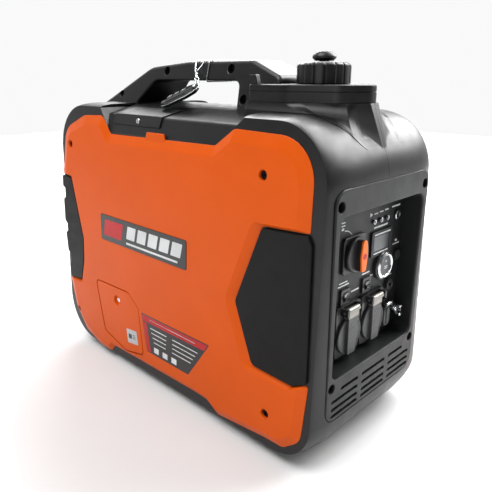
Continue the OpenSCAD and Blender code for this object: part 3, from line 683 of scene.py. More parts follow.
def make_service_cover():
    """Small cover low on the near side, with three pips beside it."""
    profile = [(1.3, 3.0), (1.3, 5.2), (1.8, 5.9), (2.8, 6.2)]
    cover = slab("ServiceCover", SERVICE_PATH, profile, near_side, "orange_cover")
    combine(cover, drill("hole", [SERVICE_HOLE], near_side, 8, -1, 6.2))
    dimples = [(-192, 146), (-200, 124), (-205, 103.5)]
    settle(cover, "casing", "orange_cover", "service_cover")
    rivets = [turned("rivet", near_side(u, v, 5.9), near_side(0, 0, 1) - near_side(0, 0, 0),
                     [(2.4, 0), (2.2, 0.25), (1.2, 0.4), (0.1, 0.42)], "orange_cover", 24)
              for u, v in dimples]
    settle(joined("CoverPips", rivets), "casing", "orange_cover")


def flat_marks(name, marks, place, out, material, thick=0.12):
    """Printed or stuck marks: quadrilaterals or outlines lying on a face."""
    plates = [slab("mark", path, [(0, out), (0, out + thick)], place, material, steps=2)
              for path in marks]
    return joined(name, plates)


def bar(u, v, length, height):
    """Outline of a printed bar."""
    return rectangle(u, v, u + length, v + height, 0.2)


def make_labels():
    """Badge, rating label and sticker, with plain blocks and bars for print."""
    badge = slab("BadgePlate", [(-158, 218, 3), (63, 218, 3), (63, 261.5, 3), (-158, 261.5, 3)],
                 [(0, 6.0), (0, 6.6), (0.5, 7.0)], near_side, "label_black")
    settle(badge, "casing", "insert_plastic", "badge_plate")
    red = [[(-150, 227, 1), (-98, 227, 1), (-92, 254, 1), (-144, 254, 1)]]
    settle(flat_marks("BadgeRed", red, near_side, 7.0, "red_paint"), "casing", "insert_plastic")
    white = [[(-84 + 28 * i, 233, 1), (-62 + 28 * i, 233, 1), (-57 + 28 * i, 254, 1), (-79 + 28 * i, 254, 1)]
             for i in range(5)] + [bar(-84, 224, 128, 3.2)]
    settle(flat_marks("BadgeWhite", white, near_side, 7.0, "white_print"), "casing", "insert_plastic")
    label = [(-49.3, 118.9, 1), (-34.8, 56.5, 1), (67.3, 56.8, 1), (112.6, 121, 1)]
    settle(flat_marks("RatingLabel", [label], near_side, 6.0, "label_black"), "casing", "insert_plastic")
    header = [[(-47, 117, 0.5), (-45, 107, 0.5), (101.5, 108.5, 0.5), (109, 119, 0.5)],
              [(-45.2, 105, 0.5), (-34, 58, 0.5), (-24, 58, 0.5), (-35, 105, 0.5)]]
    settle(flat_marks("LabelRed", header, near_side, 6.12, "red_paint"), "casing", "insert_plastic")
    lines = [bar(-26 + 3.2 * i, 99 - 7.2 * i, 42 - 4 * i, 1.3) for i in range(4)]
    lines += [bar(30, 99 - 7.2 * i, 58 - 5 * i, 1.3) for i in range(4)]
    lines += [bar(-16 + 22 * i, 61, 12, 9) for i in range(3)] + [bar(-28, 112, 110, 1.6)]
    settle(flat_marks("LabelPrint", lines, near_side, 6.12, "white_print"), "casing", "insert_plastic")
    sticker = [(-92.5, 76.7, 1), (-88.2, 53, 1), (-59.4, 56.8, 1), (-63.6, 79.9, 1)]
    settle(flat_marks("SilverSticker", [sticker], near_side, 6.2, "label_silver"), "casing", "orange_cover")
    dots = [bar(-86, 62, 9, 8), bar(-74, 64, 7, 1.2), bar(-74, 67, 7, 1.2), bar(-74, 70, 6, 1.2)]
    settle(flat_marks("StickerPrint", dots, near_side, 6.32, "label_black"), "casing", "orange_cover")


def make_face_frame():
    """Frame round the control recess, with its tube, screw wells and vent slots."""
    half_w, low, high = RECESS
    plastic = "panel_plastic"
    plate = slab("FaceFrame", end_plate(FRAME_LOW, FRAME_HIGH),
                 rolled_edge(1.6, HALF_L, HALF_L - 3), front_end, plastic)
    tube = slab("tube", rectangle(-half_w - 2.5, low - 2.5, half_w + 2.5, high + 2.5, 14),
                [(0, PANEL_X + 0.05), (0, HALF_L - 1)], front_end, plastic)
    combine(plate, tube, "UNION")
    wells = [turned("well", (HALF_L - 14, y, z), (1, 0, 0), [(8.2, 0), (8.2, 13)], sides=32)
             for y, z in FRAME_SCREWS]
    combine(plate, joined("wells", wells), "UNION")
    opening = slab("cutter", rectangle(-half_w, low, half_w, high, 12),
                   [(0, PANEL_X - 1), (0, HALF_L - 3.4), (-0.5, HALF_L - 1.6), (-1.6, HALF_L - 0.5),
                    (-3.6, HALF_L + 0.1), (-3.6, HALF_L + 3)], front_end)
    combine(plate, opening)
    combine(plate, drill("holes", FRAME_SCREWS, front_end, 6.2, HALF_L - 11, HALF_L))
    slots = []
    for row, z in enumerate((106.7, 94.5, 83.5, 74)):
        spans = ((-76 if row == 0 else -95, -38), (-28, 28), (38, 76 if row == 0 else 95))
        for y0, y1 in spans:
            path = rectangle(y0, z - 2.2, y1, z + 2.2, 2.1)
            slots.append(slab("slot", path, [(0, HALF_L - 6), (0, HALF_L - 0.7), (-0.7, HALF_L),
                                             (-0.7, HALF_L + 2)], front_end, steps=4))
    combine(plate, joined("slots", slots))
    coat(plate, plastic)
    settle(plate, "casing", "panel_plastic", "face_frame")


def make_rear_cover():
    """Louvred plate over the fixed end, with the exhaust's hole."""
    plate = slab("RearCover", end_plate(REAR_LOW, REAR_HIGH), rolled_edge(1.6, HALF_L, HALF_L - 3),
                 rear_end, "casing_plastic")
    tools = []
    for i in range(10):
        path = rectangle(-10, 122 + 18 * i, 80, 128 + 18 * i, 2.9)
        louvre = [(0, HALF_L - 6), (0, HALF_L - 1), (-0.8, HALF_L), (-0.8, HALF_L + 2)]
        tools.append(slab("slot", path, louvre, rear_end, steps=5))
    tools.append(turned("hole", (-HALF_L - 2, -55, 180), (1, 0, 0),
                        [(25.5, 0), (25.5, 2), (24, 3.2), (24, 9)], sides=64))
    combine(plate, joined("tools", tools))
    settle(plate, "casing", "casing_plastic", "rear_cover")


def handle_side(u, v, out):
    """On the handle's leaning near face."""
    return Vector((u, -(HANDLE_TOP_HALF + (HANDLE_Z - v) * HANDLE_LEAN) - out, v))


def make_handle():
    """Near half of the handle, cut to sit on the casing, and its mirrored twin."""
    outer = [
        (-262, 395, 1), (-262, 428, 10), (-128, 491, 60), (-40, 498, 90), (96, 498, 18),
        (150, 477, 10), (150, 395, 1)]
    window = [(-152, 405, 1), (-152, 436, 6), (-112, 471, 26), (76, 471, 10), (82, 405, 1)]
    tail_gap = [(108, 380, 1), (108, COLLAR_TOP + 0.4, 1), (160, COLLAR_TOP + 0.4, 1), (160, 380, 1)]
    rise = 5.0
    top = [(rise * (1 - math.sin(t)), -rise * (1 - math.cos(t))) for t in
           (math.pi / 2 * s / 5 for s in range(6))]
    rings = [[Vector((p.x, -0.15, p.y)) for p in rounded(outer)]]
    rings += [[handle_side(p.x, p.y, out) for p in rounded(inset(outer, g))] for g, out in reversed(top)]
    handle = skin_rings("NearHandle", rings, "casing_plastic")
    lip = [(0.0, -70), (0.0, -4.0), (-0.5, -2.2), (-1.8, -0.7), (-4.0, 0.0), (-4.0, 20)]
    combine(handle, slab("cutter", window, lip, handle_side))
    combine(handle, prism(tail_gap, upright, -5, 100))
    shave = [(108, -100, 1), (160, -100, 1), (160, -41, 1), (146, -41, 20), (108, -44, 3)]
    combine(handle, prism(shave, level, 380, 510))
    combine(handle, drill("holes", HANDLE_SCREWS, handle_side, 6.2, -9, 0))
    combine(handle, casing_solid())
    coat(handle, "casing_plastic")
    other = handle.copy()
    other.data = handle.data.copy()
    other.name = "FarHandle"
    bpy.context.scene.collection.objects.link(other)
    other.data.transform(Matrix.Scale(-1, 4, (0, 1, 0)))
    other.data.flip_normals()
    settle(handle, "casing", "casing_plastic", "near_handle_half")
    settle(other, "casing", "casing_plastic", "far_handle_half")


def make_filler():
    """Tank collar with two upstands, the lobed fuel cap and the vent knob."""
    plan = [(116, -62, 6), (175, -61, 50), (243, -38, 30), (264, -6, 14), (264, 6, 14), (243, 38, 30),
            (175, 61, 50), (116, 62, 6)]
    profile = [(0, COLLAR_LOW + 0.3), (0, 459), (0.9, 459.5), (0.9, 460), (0.2, 460.4), (0.2, 465.5),
               (0.8, 467.2), (2.2, COLLAR_TOP)]
    collar = slab("TankCollar", plan, profile, level, "casing_plastic")
    for s in (-1, 1):
        upstand = [(116, 466, 0.1), (131, 466, 0.1), (127, 479.5, 1.5), (116, 479.5, 1.5)]
        lug = slab("upstand", upstand, [(0.8, 50), (0, 50.8), (0, 57.2), (0.8, 58)],
                   lambda u, v, out: Vector((u, s * out, v)))
        combine(collar, lug, "UNION")
    combine(collar, turned("bore", (CAP_X, 0, 440), (0, 0, 1), [(26.4, 0), (26.4, 40)]))
    coat(collar, "casing_plastic")
    settle(collar, "casing", "casing_plastic", "tank_collar")

    def lobes(angle, radius):
        if radius < 26:
            return 1.0
        pitch = 2 * math.pi / 16
        off = (angle + 0.12) % pitch
        from_groove = min(off, pitch - off)
        flat = math.cos(pitch / 2 - from_groove) / math.cos(pitch / 2) * 0.97
        return min(1.0, flat + 0.024) - 0.03 * math.exp(-(from_groove / 0.03) ** 2)

    base = COLLAR_TOP + 0.4
    profile = [(24.95, 0), (33, 0), (34, 0.8), (34, 20), (33.2, 22.6), (31, 24.6), (28, 25.7), (25, 26),
               (14, 26), (13.5, 25.4), (6.1, 25.4), (6.1, 21), (24.95, 21)]
    cap = turned("FuelCap", (CAP_X, 0, base), (0, 0, 1), profile, "casing_plastic", 160, lobes, bored=True)
    settle(cap, "cap", "casing_plastic", "fuel_cap")
    knob = [(6, -7), (6, 0), (12, 0.2), (12.4, 1.2), (14.6, 3), (15, 4.4), (14.7, 6), (12.8, 8.6),
            (10.4, 10.6), (8.6, 11.4), (2, 11.5)]
    settle(turned("VentKnob", (CAP_X, 0, 495.5), (0, 0, 1), knob, "casing_plastic"),
           "vent", "casing_plastic", "vent_knob")


def disc(name, y, z, profile, material, sides=64, bored=False):
    """Round fitting on the panel: (radius, height above the panel) pairs."""
    return turned(name, (PANEL_X, y, z), (1, 0, 0), profile, material, sides, bored=bored)


def make_switch():
    """Engine switch: base, dial and its orange bar."""
    y, z = SWITCH
    base = slab("base", rectangle(y - 24, z - 24, y + 24, z + 24, 5), rolled_edge(1.2, PANEL_X + 4, PANEL_X),
                front_end, "socket_plastic")
    settle(base, "casing", "socket_plastic", "switch_base")
    drum = [(22.4, 4.3), (23, 5), (23, 8.8), (22, 10.2), (20, 10.4)]
    body = disc("SwitchDial", y, z, drum, "socket_plastic")
    grip = [(y - 5, z - 20.5, 4), (y + 5, z - 20.5, 4), (y + 7.5, z, 20), (y + 5, z + 20.5, 4),
            (y - 5, z + 20.5, 4), (y - 7.5, z, 20)]
    stem = slab("stem", grip, [(0, PANEL_X + 9), (0.3, PANEL_X + 16.5)], front_end, "socket_plastic")
    face = slab("face", inset(grip, 0.3), [(0, PANEL_X + 16.5), (0.1, PANEL_X + 18.2), (0.9, PANEL_X + 18.8)],
                front_end, "knob_orange")
    dot = disc("dot", y, z, [(4, 18.7), (4, 18.95), (3.6, 19.05)], "red_paint", 32)
    settle(joined("SwitchDial", [body, stem, face, dot]), "dial", "socket_plastic", "switch_dial")


def make_start():
    """Start button in its plated bezel."""
    y, z = START
    bezel_section = [(13.7, -6), (13.7, 6.6), (14.6, 7.8), (16.2, 8), (18.6, 6.6), (19.2, 5.0), (19.2, -6)]
    bezel = disc("StartBezel", y, z, bezel_section, "bright_steel", bored=True)
    skirt_section = [(19.25, -2), (19.25, 4.6), (20.4, 4.6), (21, 3.8), (21, 0.05)]
    skirt = disc("skirt", y, z, skirt_section, "socket_plastic", bored=True)
    settle(joined("StartBezel", [bezel, skirt]), "casing", "bright_steel", "start_bezel")
    domed = [(13.4, -8), (13.4, 5.6), (12.8, 6.4), (9, 6.8), (2, 7)]
    button = disc("StartButton", y, z, domed, "button_face")
    marks = [disc("dot", y, z + 6.2, [(1.3, 6.7), (1.3, 7.05)], "white_print", 20)]
    marks += [slab("mark", bar(y - 4, z - 1.5 - 2.6 * i, 8, 1.1), [(0, PANEL_X + 6.6), (0, PANEL_X + 7.05)],
                   front_end, "white_print", steps=2) for i in range(2)]
    settle(joined("StartButton", [button] + marks), "start", "button_face", "start_button")


def make_panel_print():
    """Scales and legends of the control panel, and the meter window."""
    face = PANEL_X + 0.02
    marks = [bar(-52, 309, 8, 1.6), bar(-52, 305, 8, 1.6), bar(-51, 300, 5, 3)]
    quarter = [math.pi / 2 * s / 12 for s in range(13)]
    arc = [(-44 + 21 * math.sin(t), 276 + 22 * math.cos(t)) for t in quarter]
    marks += [[(a[0], a[1], 0.05), (b[0], b[1], 0.05), (b[0] - 0.3, b[1] + 1.3, 0.05),
               (a[0] - 0.3, a[1] + 1.3, 0.05)] for a, b in zip(arc, arc[1:])]
    marks += [bar(22 + 13 * i, 307 + 0.6 * i, 9, 1.8) for i in range(3)] + [bar(66, 309, 22, 2)]
    marks += [[(12, 305, 0.1), (18, 308, 0.1), (12, 311, 0.1)]]
    marks += [bar(24, 287.5, 34, 2.2), bar(76, 254, 18, 1.4), bar(82, 258, 5, 3)]
    marks += [bar(-52, 226, 24, 1.5), bar(-50, 230, 18, 1.5), bar(2, 229, 18, 1.8), bar(22, 222, 7, 1.8)]
    marks += [bar(-22, 212, 18, 2), bar(60, 210, 20, 1.6), bar(40, 187, 30, 1.4), bar(56, 183, 12, 1.4)]
    settle(flat_marks("PanelPrint", marks, front_end, face, "white_print", 0.1), "casing", "panel_plastic")
    frame_marks = [bar(22, 278.6, 40, 1.8), bar(22, 252.6, 36, 1.8)]
    settle(flat_marks("MeterPrint", frame_marks, front_end, PANEL_X + 3.02, "white_print", 0.1),
           "casing", "panel_plastic")
    glass = prism(rectangle(22.2, 256.2, 59.8, 276.8, 1), front_end, PANEL_X + 2.02, PANEL_X + 2.5)
    glass.name = "MeterGlass"
    coat(glass, "meter_glass")
    settle(glass, "casing", "lamp_lens")


def make_lamp_rings():
    """Plated rings round the ring lamp and the three small lamps."""
    large = [(4.1, 2.6), (4.3, 3.3), (5.4, 3.6), (6.5, 3.2), (6.7, 2.4)]
    small = [(2.2, 2.2), (2.4, 2.8), (3.1, 2.9), (3.3, 2.0)]
    rings = [disc("ring", 79, 297, large, "bright_steel", 40, bored=True)]
    rings += [disc("ring", y, 298, small, "bright_steel", 28, bored=True) for y in (20.6, 36.6, 52.6)]
    settle(joined("LampRings", rings), "casing", "bright_steel")


def make_lid(side, y):
    """Flip lid of a mains socket, with its strap and hinge."""
    x0 = PANEL_X + 5.4
    rimmed = [(25.4, 0), (26, 0.6), (26, 2.7), (25.2, 3.4), (23.2, 3.5), (22.6, 3.0), (12, 3.0), (2, 3.1)]
    plate = turned("plate", (x0, y, SOCKET_Z), (1, 0, 0), rimmed, "lid_plastic", 72)
    strap_path = [(y - 9.2, 133, 3), (y + 9.2, 133, 3), (y + 10.5, 186, 2), (y + 10.5, 192, 1),
                  (y - 10.5, 192, 1), (y - 10.5, 186, 2)]
    strap = slab("strap", strap_path, [(0, x0 + 0.1), (0, x0 + 6.4), (0.4, x0 + 7.2), (1.3, x0 + 7.5)],
                 front_end, "lid_plastic")
    ribs = [slab("rib", rectangle(y - 5 + 0.6 * (i % 2), 139 + 7 * i, y + 5, 142.2 + 7 * i, 1),
                 [(0, x0 + 7.3), (0, x0 + 7.7), (0.3, x0 + 7.8)], front_end, "lid_plastic", steps=3)
            for i in range(6)]
    hinge = turned("hinge", (LID_PIN[0], y - 13.1, LID_PIN[1]), (0, 1, 0),
                   [(3.6, 0), (4.2, 0.6), (4.2, 25.6), (3.6, 26.2)], "sheet_steel", 32)
    clasp = slab("clasp", rectangle(y - 10.9, 184.5, y + 10.9, 194, 0.8),
                 [(0, x0 + 0.3), (0, x0 + 7.7), (0.5, x0 + 8.1)], front_end, "sheet_steel", steps=3)
    settle(joined(side.title() + "Lid", [plate, strap, hinge, clasp] + ribs), side + "_flap",
           "socket_plastic", side + "_lid")


def make_dc_fittings():
    """Low-voltage outlet lid and the wing nut of the earth stud."""
    y, z = DC
    x0 = PANEL_X + 4.4
    lid = slab("lid", rectangle(y - 8, 138, y + 8, 168, 7), rolled_edge(1.2, x0 + 4, x0), front_end,
               "lid_plastic")
    rib = slab("rib", rectangle(y - 3, 141, y + 3, 166, 2.9), [(0, x0 + 3.8), (0, x0 + 4.8), (0.6, x0 + 5.4)],
               front_end, "lid_plastic", steps=4)
    neck = slab("neck", rectangle(y - 5.9, 160, y + 5.9, 171, 1), [(0, x0), (0, x0 + 3.6), (0.4, x0 + 4)],
                front_end, "lid_plastic", steps=3)
    knuckle = turned("knuckle", (DC_PIN[0], y - 6.1, DC_PIN[1]), (0, 1, 0),
                     [(2.6, 0), (3, 0.4), (3, 11.8), (2.6, 12.2)], "bright_steel", 28)
    settle(joined("OutletLid", [lid, rib, neck, knuckle]), "dc_flap", "socket_plastic", "dc_lid")
    y, z = STUD
    hub = disc("hub", y, z, [(5.4, 5), (5.8, 5.6), (5.2, 9), (4.4, 11.6), (3.8, 12)], "bright_steel", 32)
    wings = []
    for s in (-1, 1):
        wing = [(y - 3.2, z + s * 4, 1.5), (y + 3.2, z + s * 4, 1.5), (y + 3.6, z + s * 8.4, 2.6),
                (y - 3.6, z + s * 8.4, 2.6)]
        wings.append(slab("wing", wing, [(0.8, PANEL_X + 7), (0, PANEL_X + 8), (0, PANEL_X + 17.5),
                                         (1.4, PANEL_X + 19)], front_end, "bright_steel", steps=5))
    settle(joined("WingNut", [hub] + wings), "ground_nut", "bright_steel", "wing_nut")


def bar_section(grown):
    """Section of the handle's bar with its corners, grown outwards, as (y, z) points."""
    low, high = 471 - grown, HANDLE_Z + grown
    wide = HANDLE_TOP_HALF + 27 * HANDLE_LEAN + grown
    narrow = HANDLE_TOP_HALF + grown
    return [(p.x, p.y) for p in rounded([(-wide, low, 2), (-narrow, high, 6), (narrow, high, 6),
                                         (wide, low, 2)], 5)]


def make_keys():
    """Wire loops on the handle bar, and the key chain that hangs from them."""
    steel = "bright_steel"
    loops = [wire("loop", [(12, y, z) for y, z in bar_section(1.1)], 0.9, steel, closed=True, smooth=False)]
    over = [(y, z) for y, z in bar_section(1.1) if z > 484]
    for s in (-1, 1):
        run = [(KEY_HANG.x + 8 * s, y, z) for y, z in over]
        ends = [(KEY_HANG.x + 3 * s, KEY_HANG.y, KEY_HANG.z), (KEY_HANG.x + 8 * s, over[0][0], over[0][1])]
        loops.append(wire("clip", ends + run[1:], 0.8, steel, smooth=False))
    bridge = [(KEY_HANG.x + 3.4 * s, KEY_HANG.y, KEY_HANG.z) for s in (-1, 1)]
    loops.append(wire("bridge", bridge, 0.9, steel, smooth=False))
    settle(as_mesh("KeyLoops", loops), "casing", "bright_steel", "key_loops")

    drop = FOB_RING - KEY_HANG
    links = []
    for share, radius, tilt in ((0.0, 2.7, 0), (0.52, 3.4, 1), (0.7, 3.4, 0), (0.88, 3.4, 1)):
        spot = KEY_HANG + drop * share
        across = Vector((0, 1, 0)) if tilt == 0 else Vector((1, 0.3, 0)).normalized()
        along = drop.normalized()
        ring = [spot + (across * math.cos(a) + along * math.sin(a) * 1.2) * radius
                for a in (2 * math.pi * i / 24 for i in range(24))]
        links.append(wire("link", ring, 0.85, steel, closed=True))
    barrel = [(1.2, 0), (2.4, 1.2), (2.6, 3.4), (1.6, 4.6), (2.4, 5.4), (2.2, 8), (1.0, 9.2)]
    swivel = turned("swivel", KEY_HANG + drop * 0.14, drop, barrel, steel, 28)
    chain = as_mesh("chain", links)
    settle(joined("KeyChain", [chain, swivel]), "keys", "bright_steel", "key_chain")
    make_fob()


def make_fob():
    """Glossy remote fob with a plated rim and three buttons."""
    turn = (Matrix.Rotation(math.radians(16.4), 3, "Z") @ Matrix.Rotation(math.radians(-21.6), 3, "Y")
            @ Matrix.Rotation(math.radians(25), 3, "X"))
    length, width, thick = 66.0, 28.0, 11.0

    def on_fob(u, v, out):
        return FOB_RING + turn @ Vector((u - length / 2, v, out))

    shape = [(-length / 2, -8, 6), (-length / 2 + 12, -width / 2, 16), (length / 2 - 16, -width / 2, 16),
             (length / 2, -7, 6), (length / 2, 7, 6), (length / 2 - 16, width / 2, 16),
             (-length / 2 + 12, width / 2, 16), (-length / 2, 8, 6)]
    half = thick / 2
    body = slab("body", shape, [(3.6, -half), (1.2, -half + 1.2), (0.2, -1.6), (0.2, 1.2), (1.4, half - 1.6),
                                (3.4, half - 0.5), (5.6, half)], on_fob, "fob_gloss")
    rim = [on_fob(p.x, p.y, -0.2) for p in rounded(inset(shape, 0.3), 5)]
    trim = as_mesh("trim", [wire("rim", rim, 0.9, "bright_steel", closed=True, smooth=False)])
    buttons = []
    for i in range(3):
        u = -16 + 13 * i
        pad = [(u - 4.4, -5, 2.4), (u + 4.4, -5, 2.4), (u + 4.4, 5, 2.4), (u - 4.4, 5, 2.4)]
        buttons.append(slab("pad", pad, [(0, half - 0.6), (0, half + 0.2), (0.5, half + 0.5)], on_fob,
                            "button_face", steps=4))
        mark = [(u - 1.2, -1.2, 0.8), (u + 1.2, -1.2, 0.8), (u + 1.2, 1.2, 0.8), (u - 1.2, 1.2, 0.8)]
        buttons.append(slab("mark", mark, [(0, half + 0.45), (0, half + 0.6)], on_fob,
                            "white_print", steps=4))
    settle(joined("RemoteFob", [body, trim] + buttons), "keys", "fob_gloss", "remote_fob")


def as_mesh(name, curves):
    """Turns curves into one mesh."""
    parts = []
    for curve in curves:
        bpy.context.view_layer.update()
        shaped = curve.evaluated_get(bpy.context.evaluated_depsgraph_get())
        mesh = bpy.data.meshes.new_from_object(shaped)
        part = bpy.data.objects.new(name, mesh)
        bpy.context.scene.collection.objects.link(part)
        bpy.data.objects.remove(curve)
        parts.append(part)
    return joined(name, parts)


# ---- the add-on --------------------------------------------------------------------------------

CAMERA_PLACE = (0.6063, -0.5671, 0.4782)
CAMERA_AZIMUTH = math.radians(44.25)
CAMERA_DIP = math.radians(17.9)
CAMERA_LENS = 38.63              # millimetres on a sensor 36 mm wide
LIGHT_TARGET = Vector((0.05, 0, 0.25))
LIGHTS = {                       # place, side in metres and the setting that holds the power
    "Key": ((0.7, 2.3, 2.3), 2.6, "key_power"),
    "Side": ((2.6, -0.1, 2.2), 1.4, "side_power"),
    "Fill": ((0.9, -2.6, 1.0), 1.6, "fill_power"),
    "Top": ((-0.3, -1.3, 3.0), 2.0, "top_power"),
    "Back": ((-2.6, 2.6, 3.0), 2.6, "back_power"),
}

SOFTENED = {
    "plug_hatch": (0.5, "casing_plastic"), "recoil_grip": (1.6, "rubber_parts"),
    "left_socket": (0.7, "socket_plastic"), "right_socket": (0.7, "socket_plastic"),
    "dc_outlet": (0.5, "socket_plastic"), "breaker_bodies": (0.5, "socket_plastic"),
    "left_breaker_rocker": (0.5, "socket_plastic"), "right_breaker_rocker": (0.5, "socket_plastic"),
    "reset_button": (0.4, "socket_plastic"), "meter": (0.5, "panel_plastic"),
    "usb_cover": (0.8, "rubber_parts"), "indicator_lamps": (0.4, "lamp_lens"),
    "rubber_feet": (1.5, "rubber_parts"), "base_tray": (0.8, "casing_plastic"),
    "exhaust_outlet": (0.5, "sheet_steel"), "case_screws": (0.3, "dark_steel"),
    "slotted_screws": (0.25, "bright_steel"), "starter_battery": (1.2, "tank_plastic"),
    "fuel_tank": (3.0, "tank_plastic"), "muffler": (1.0, "sheet_steel"),
    "engine_block": (0.8, "cast_aluminium"), "inverter_module": (0.5, "cast_aluminium"),
    "carburettor": (0.6, "cast_aluminium"), "air_filter_box": (1.2, "casing_plastic"),
    "spark_plug": (0.4, "ceramic"), "engine_mounts": (1.0, "rubber_parts"),
    "ground_stud": (0.3, "bright_steel"), "lid_hinge_pins": (0.2, "bright_steel"),
}
KEPT = {
    "control_panel": "panel_plastic", "stator": "copper_winding", "rotor_fan": "rotor_iron",
    "recoil_housing": "casing_plastic",
}


class GeneratorLook(bpy.types.PropertyGroup):
    """Sizes and colours that a user can change before building."""

    cover_colour_code: bpy.props.StringProperty(
        name="Cover colour", description="sRGB hex code of the side covers", default="#c64d02")
    casing_colour_code: bpy.props.StringProperty(
        name="Casing colour", description="sRGB hex code of the casing", default="#0d0d0e")
    floor_size: bpy.props.FloatProperty(
        name="Floor size", description="Side of the square floor", default=8.0, min=2.0, unit="LENGTH")
    key_power: bpy.props.FloatProperty(
        name="Key light", description="Power of the large soft light over the far side", default=225.0,
        min=0.0, unit="POWER")
    side_power: bpy.props.FloatProperty(
        name="Side light", description="Power of the light on the control end", default=8.0, min=0.0,
        unit="POWER")
    fill_power: bpy.props.FloatProperty(
        name="Fill light", description="Power of the low light on the near side", default=14.0, min=0.0,
        unit="POWER")
    top_power: bpy.props.FloatProperty(
        name="Top light", description="Power of the light over the near side", default=95.0, min=0.0,
        unit="POWER")
    back_power: bpy.props.FloatProperty(
        name="Back light", description="Power of the light behind the fixed end", default=190.0, min=0.0,
        unit="POWER")
    sky_strength: bpy.props.FloatProperty(
        name="Backdrop", description="Brightness of the studio behind the machine", default=0.95, min=0.0)
    front_strength: bpy.props.FloatProperty(
        name="Front", description="Brightness of the studio in front of the machine", default=0.12, min=0.0)


class Builder:
    """Shared by the operators: runs build() and reports done, with any error raised."""

    bl_options = {"REGISTER"}

    def execute(self, context):
        self.build(context.scene.generator_look)
        return {"FINISHED"}


class GENERATOR_OT_materials(Builder, bpy.types.Operator):
    """Makes every finish"""

    bl_idname = "generator.materials"
    bl_label = "Materials"

    def build(self, look):
        make_materials(look)


class GENERATOR_OT_casing(Builder, bpy.types.Operator):
    """Builds the two casing halves with the pedestal and the sunk top"""

    bl_idname = "generator.casing"
    bl_label = "Casing halves"

    def build(self, look):
        make_casing()


class GENERATOR_OT_covers(Builder, bpy.types.Operator):
    """Builds the orange side covers, the black inserts and the service cover"""

    bl_idname = "generator.covers"
    bl_label = "Side covers"

    def build(self, look):
        make_cover(near_side, "NearCover", "near_cover")
        make_cover(far_side, "FarCover", "far_cover")
        make_inserts(near_side, "near")
        make_inserts(far_side, "far")
        make_service_cover()


class GENERATOR_OT_labels(Builder, bpy.types.Operator):
    """Lays the badge, the rating label and the sticker on the near cover"""

    bl_idname = "generator.labels"
    bl_label = "Labels"

    def build(self, look):
        make_labels()


class GENERATOR_OT_ends(Builder, bpy.types.Operator):
    """Builds the face frame round the controls and the louvred rear cover"""

    bl_idname = "generator.ends"
    bl_label = "End plates"

    def build(self, look):
        make_face_frame()
        make_rear_cover()


class GENERATOR_OT_handle(Builder, bpy.types.Operator):
    """Builds the two halves of the carrying handle"""

    bl_idname = "generator.handle"
    bl_label = "Handle"

    def build(self, look):
        make_handle()


class GENERATOR_OT_filler(Builder, bpy.types.Operator):
    """Builds the tank collar, the fuel cap and its vent knob"""

    bl_idname = "generator.filler"
    bl_label = "Fuel filler"

    def build(self, look):
        make_filler()


class GENERATOR_OT_controls(Builder, bpy.types.Operator):
    """Builds the switch, the start button and the panel's print"""

    bl_idname = "generator.controls"
    bl_label = "Controls"

    def build(self, look):
        make_switch()
        make_start()
        make_panel_print()
        make_lamp_rings()


class GENERATOR_OT_outlets(Builder, bpy.types.Operator):
    """Builds the outlet lids and the ground terminal's wing nut"""

    bl_idname = "generator.outlets"
    bl_label = "Outlets"

    def build(self, look):
        for side, y in SOCKETS.items():
            make_lid(side, y)
        make_dc_fittings()


class GENERATOR_OT_keys(Builder, bpy.types.Operator):
    """Hangs the wire loops, the chain and the remote fob on the handle"""

    bl_idname = "generator.keys"
    bl_label = "Keys and fob"

    def build(self, look):
        make_keys()


class GENERATOR_OT_frame_pieces(Builder, bpy.types.Operator):
    """Gives the remaining CAD pieces rounded edges and their finishes"""

    bl_idname = "generator.frame_pieces"
    bl_label = "Other pieces"

    def build(self, look):
        for node, (width, slot) in SOFTENED.items():
            soften(node, width, slot)
        for node, slot in KEPT.items():
            coat(frame["nodes"][node], slot)


def studio(look):
    """White surroundings behind the machine that fade to dim ones in front of it."""
    world = bpy.data.worlds.new("Studio")
    world.use_nodes = True
    tree = world.node_tree
    tree.nodes.clear()
    around = add(tree, "ShaderNodeTexCoord").outputs["Generated"]
    facing = add(tree, "ShaderNodeVectorMath", {0: around, 1: (-0.66, 0.72, 0.2)}, operation="DOT_PRODUCT")
    strength = add(tree, "ShaderNodeMapRange", {
        "Value": facing.outputs["Value"], "From Min": -0.3, "From Max": 0.7,
        "To Min": look.front_strength, "To Max": look.sky_strength}).outputs["Result"]
    background = add(tree, "ShaderNodeBackground", {"Color": (1, 1, 1, 1), "Strength": strength})
    add(tree, "ShaderNodeOutputWorld", {"Surface": background.outputs["Background"]})
    return world


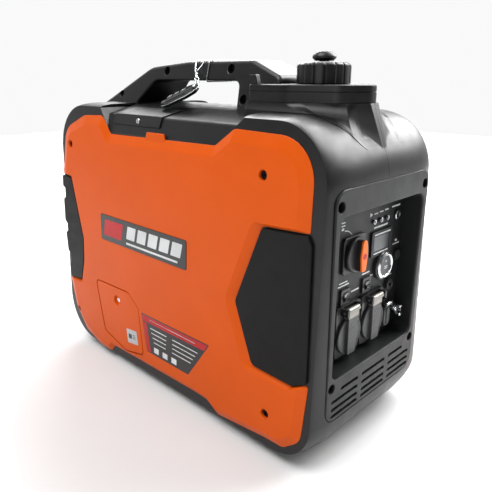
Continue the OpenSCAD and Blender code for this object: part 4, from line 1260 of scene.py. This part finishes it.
class GENERATOR_OT_stage(Builder, bpy.types.Operator):
    """Sets the floor, the studio light and the camera"""

    bl_idname = "generator.stage"
    bl_label = "Stage"

    def build(self, look):
        scene = bpy.context.scene
        half = look.floor_size / 2
        mesh = bpy.data.meshes.new("Floor")
        mesh.from_pydata([(-half, -half, 0), (half, -half, 0), (half, half, 0), (-half, half, 0)], [],
                         [(0, 1, 2, 3)])
        mesh.materials.append(MATERIALS["studio_floor"])
        floor = bpy.data.objects.new("Floor", mesh)
        scene.collection.objects.link(floor)
        scene.world = studio(look)
        for name, (place, size, power) in LIGHTS.items():
            lamp = bpy.data.lights.new(name, "AREA")
            lamp.shape = "SQUARE"
            lamp.size = size
            lamp.energy = getattr(look, power)
            light = bpy.data.objects.new(name, lamp)
            light.location = place
            aim = LIGHT_TARGET - Vector(place)
            light.rotation_euler = aim.to_track_quat("-Z", "Y").to_euler()
            scene.collection.objects.link(light)
        lens = bpy.data.cameras.new("Camera")
        lens.sensor_width = 36
        lens.lens = CAMERA_LENS
        camera = bpy.data.objects.new("Camera", lens)
        camera.location = CAMERA_PLACE
        forward = Vector((-math.sin(CAMERA_AZIMUTH) * math.cos(CAMERA_DIP),
                          math.cos(CAMERA_AZIMUTH) * math.cos(CAMERA_DIP), -math.sin(CAMERA_DIP)))
        camera.rotation_euler = forward.to_track_quat("-Z", "Y").to_euler()
        scene.collection.objects.link(camera)
        scene.camera = camera
        scene.view_settings.view_transform = "Standard"


OPERATORS = (
    GENERATOR_OT_materials, GENERATOR_OT_casing, GENERATOR_OT_covers, GENERATOR_OT_labels,
    GENERATOR_OT_ends, GENERATOR_OT_handle, GENERATOR_OT_filler, GENERATOR_OT_controls,
    GENERATOR_OT_outlets, GENERATOR_OT_keys, GENERATOR_OT_frame_pieces, GENERATOR_OT_stage)


class GENERATOR_PT_panel(bpy.types.Panel):
    """Lists the pieces in building order"""

    bl_label = "Inverter generator"
    bl_idname = "GENERATOR_PT_panel"
    bl_space_type = "VIEW_3D"
    bl_region_type = "UI"
    bl_category = "Generator"

    def draw(self, context):
        look = context.scene.generator_look
        for name in ("cover_colour_code", "casing_colour_code", "floor_size", "key_power", "side_power",
                     "fill_power", "top_power", "back_power", "sky_strength", "front_strength"):
            self.layout.prop(look, name)
        for operator in OPERATORS:
            self.layout.operator(operator.bl_idname)


def register():
    for cls in (GeneratorLook, GENERATOR_PT_panel) + OPERATORS:
        bpy.utils.register_class(cls)
    bpy.types.Scene.generator_look = bpy.props.PointerProperty(type=GeneratorLook)


def unregister():
    del bpy.types.Scene.generator_look
    for cls in reversed((GeneratorLook, GENERATOR_PT_panel) + OPERATORS):
        bpy.utils.unregister_class(cls)


def main():
    """Registers the add-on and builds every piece."""
    register()
    for operator in OPERATORS:
        group, name = operator.bl_idname.split(".")
        getattr(getattr(bpy.ops, group), name)()


if __name__ == "__main__":
    main()
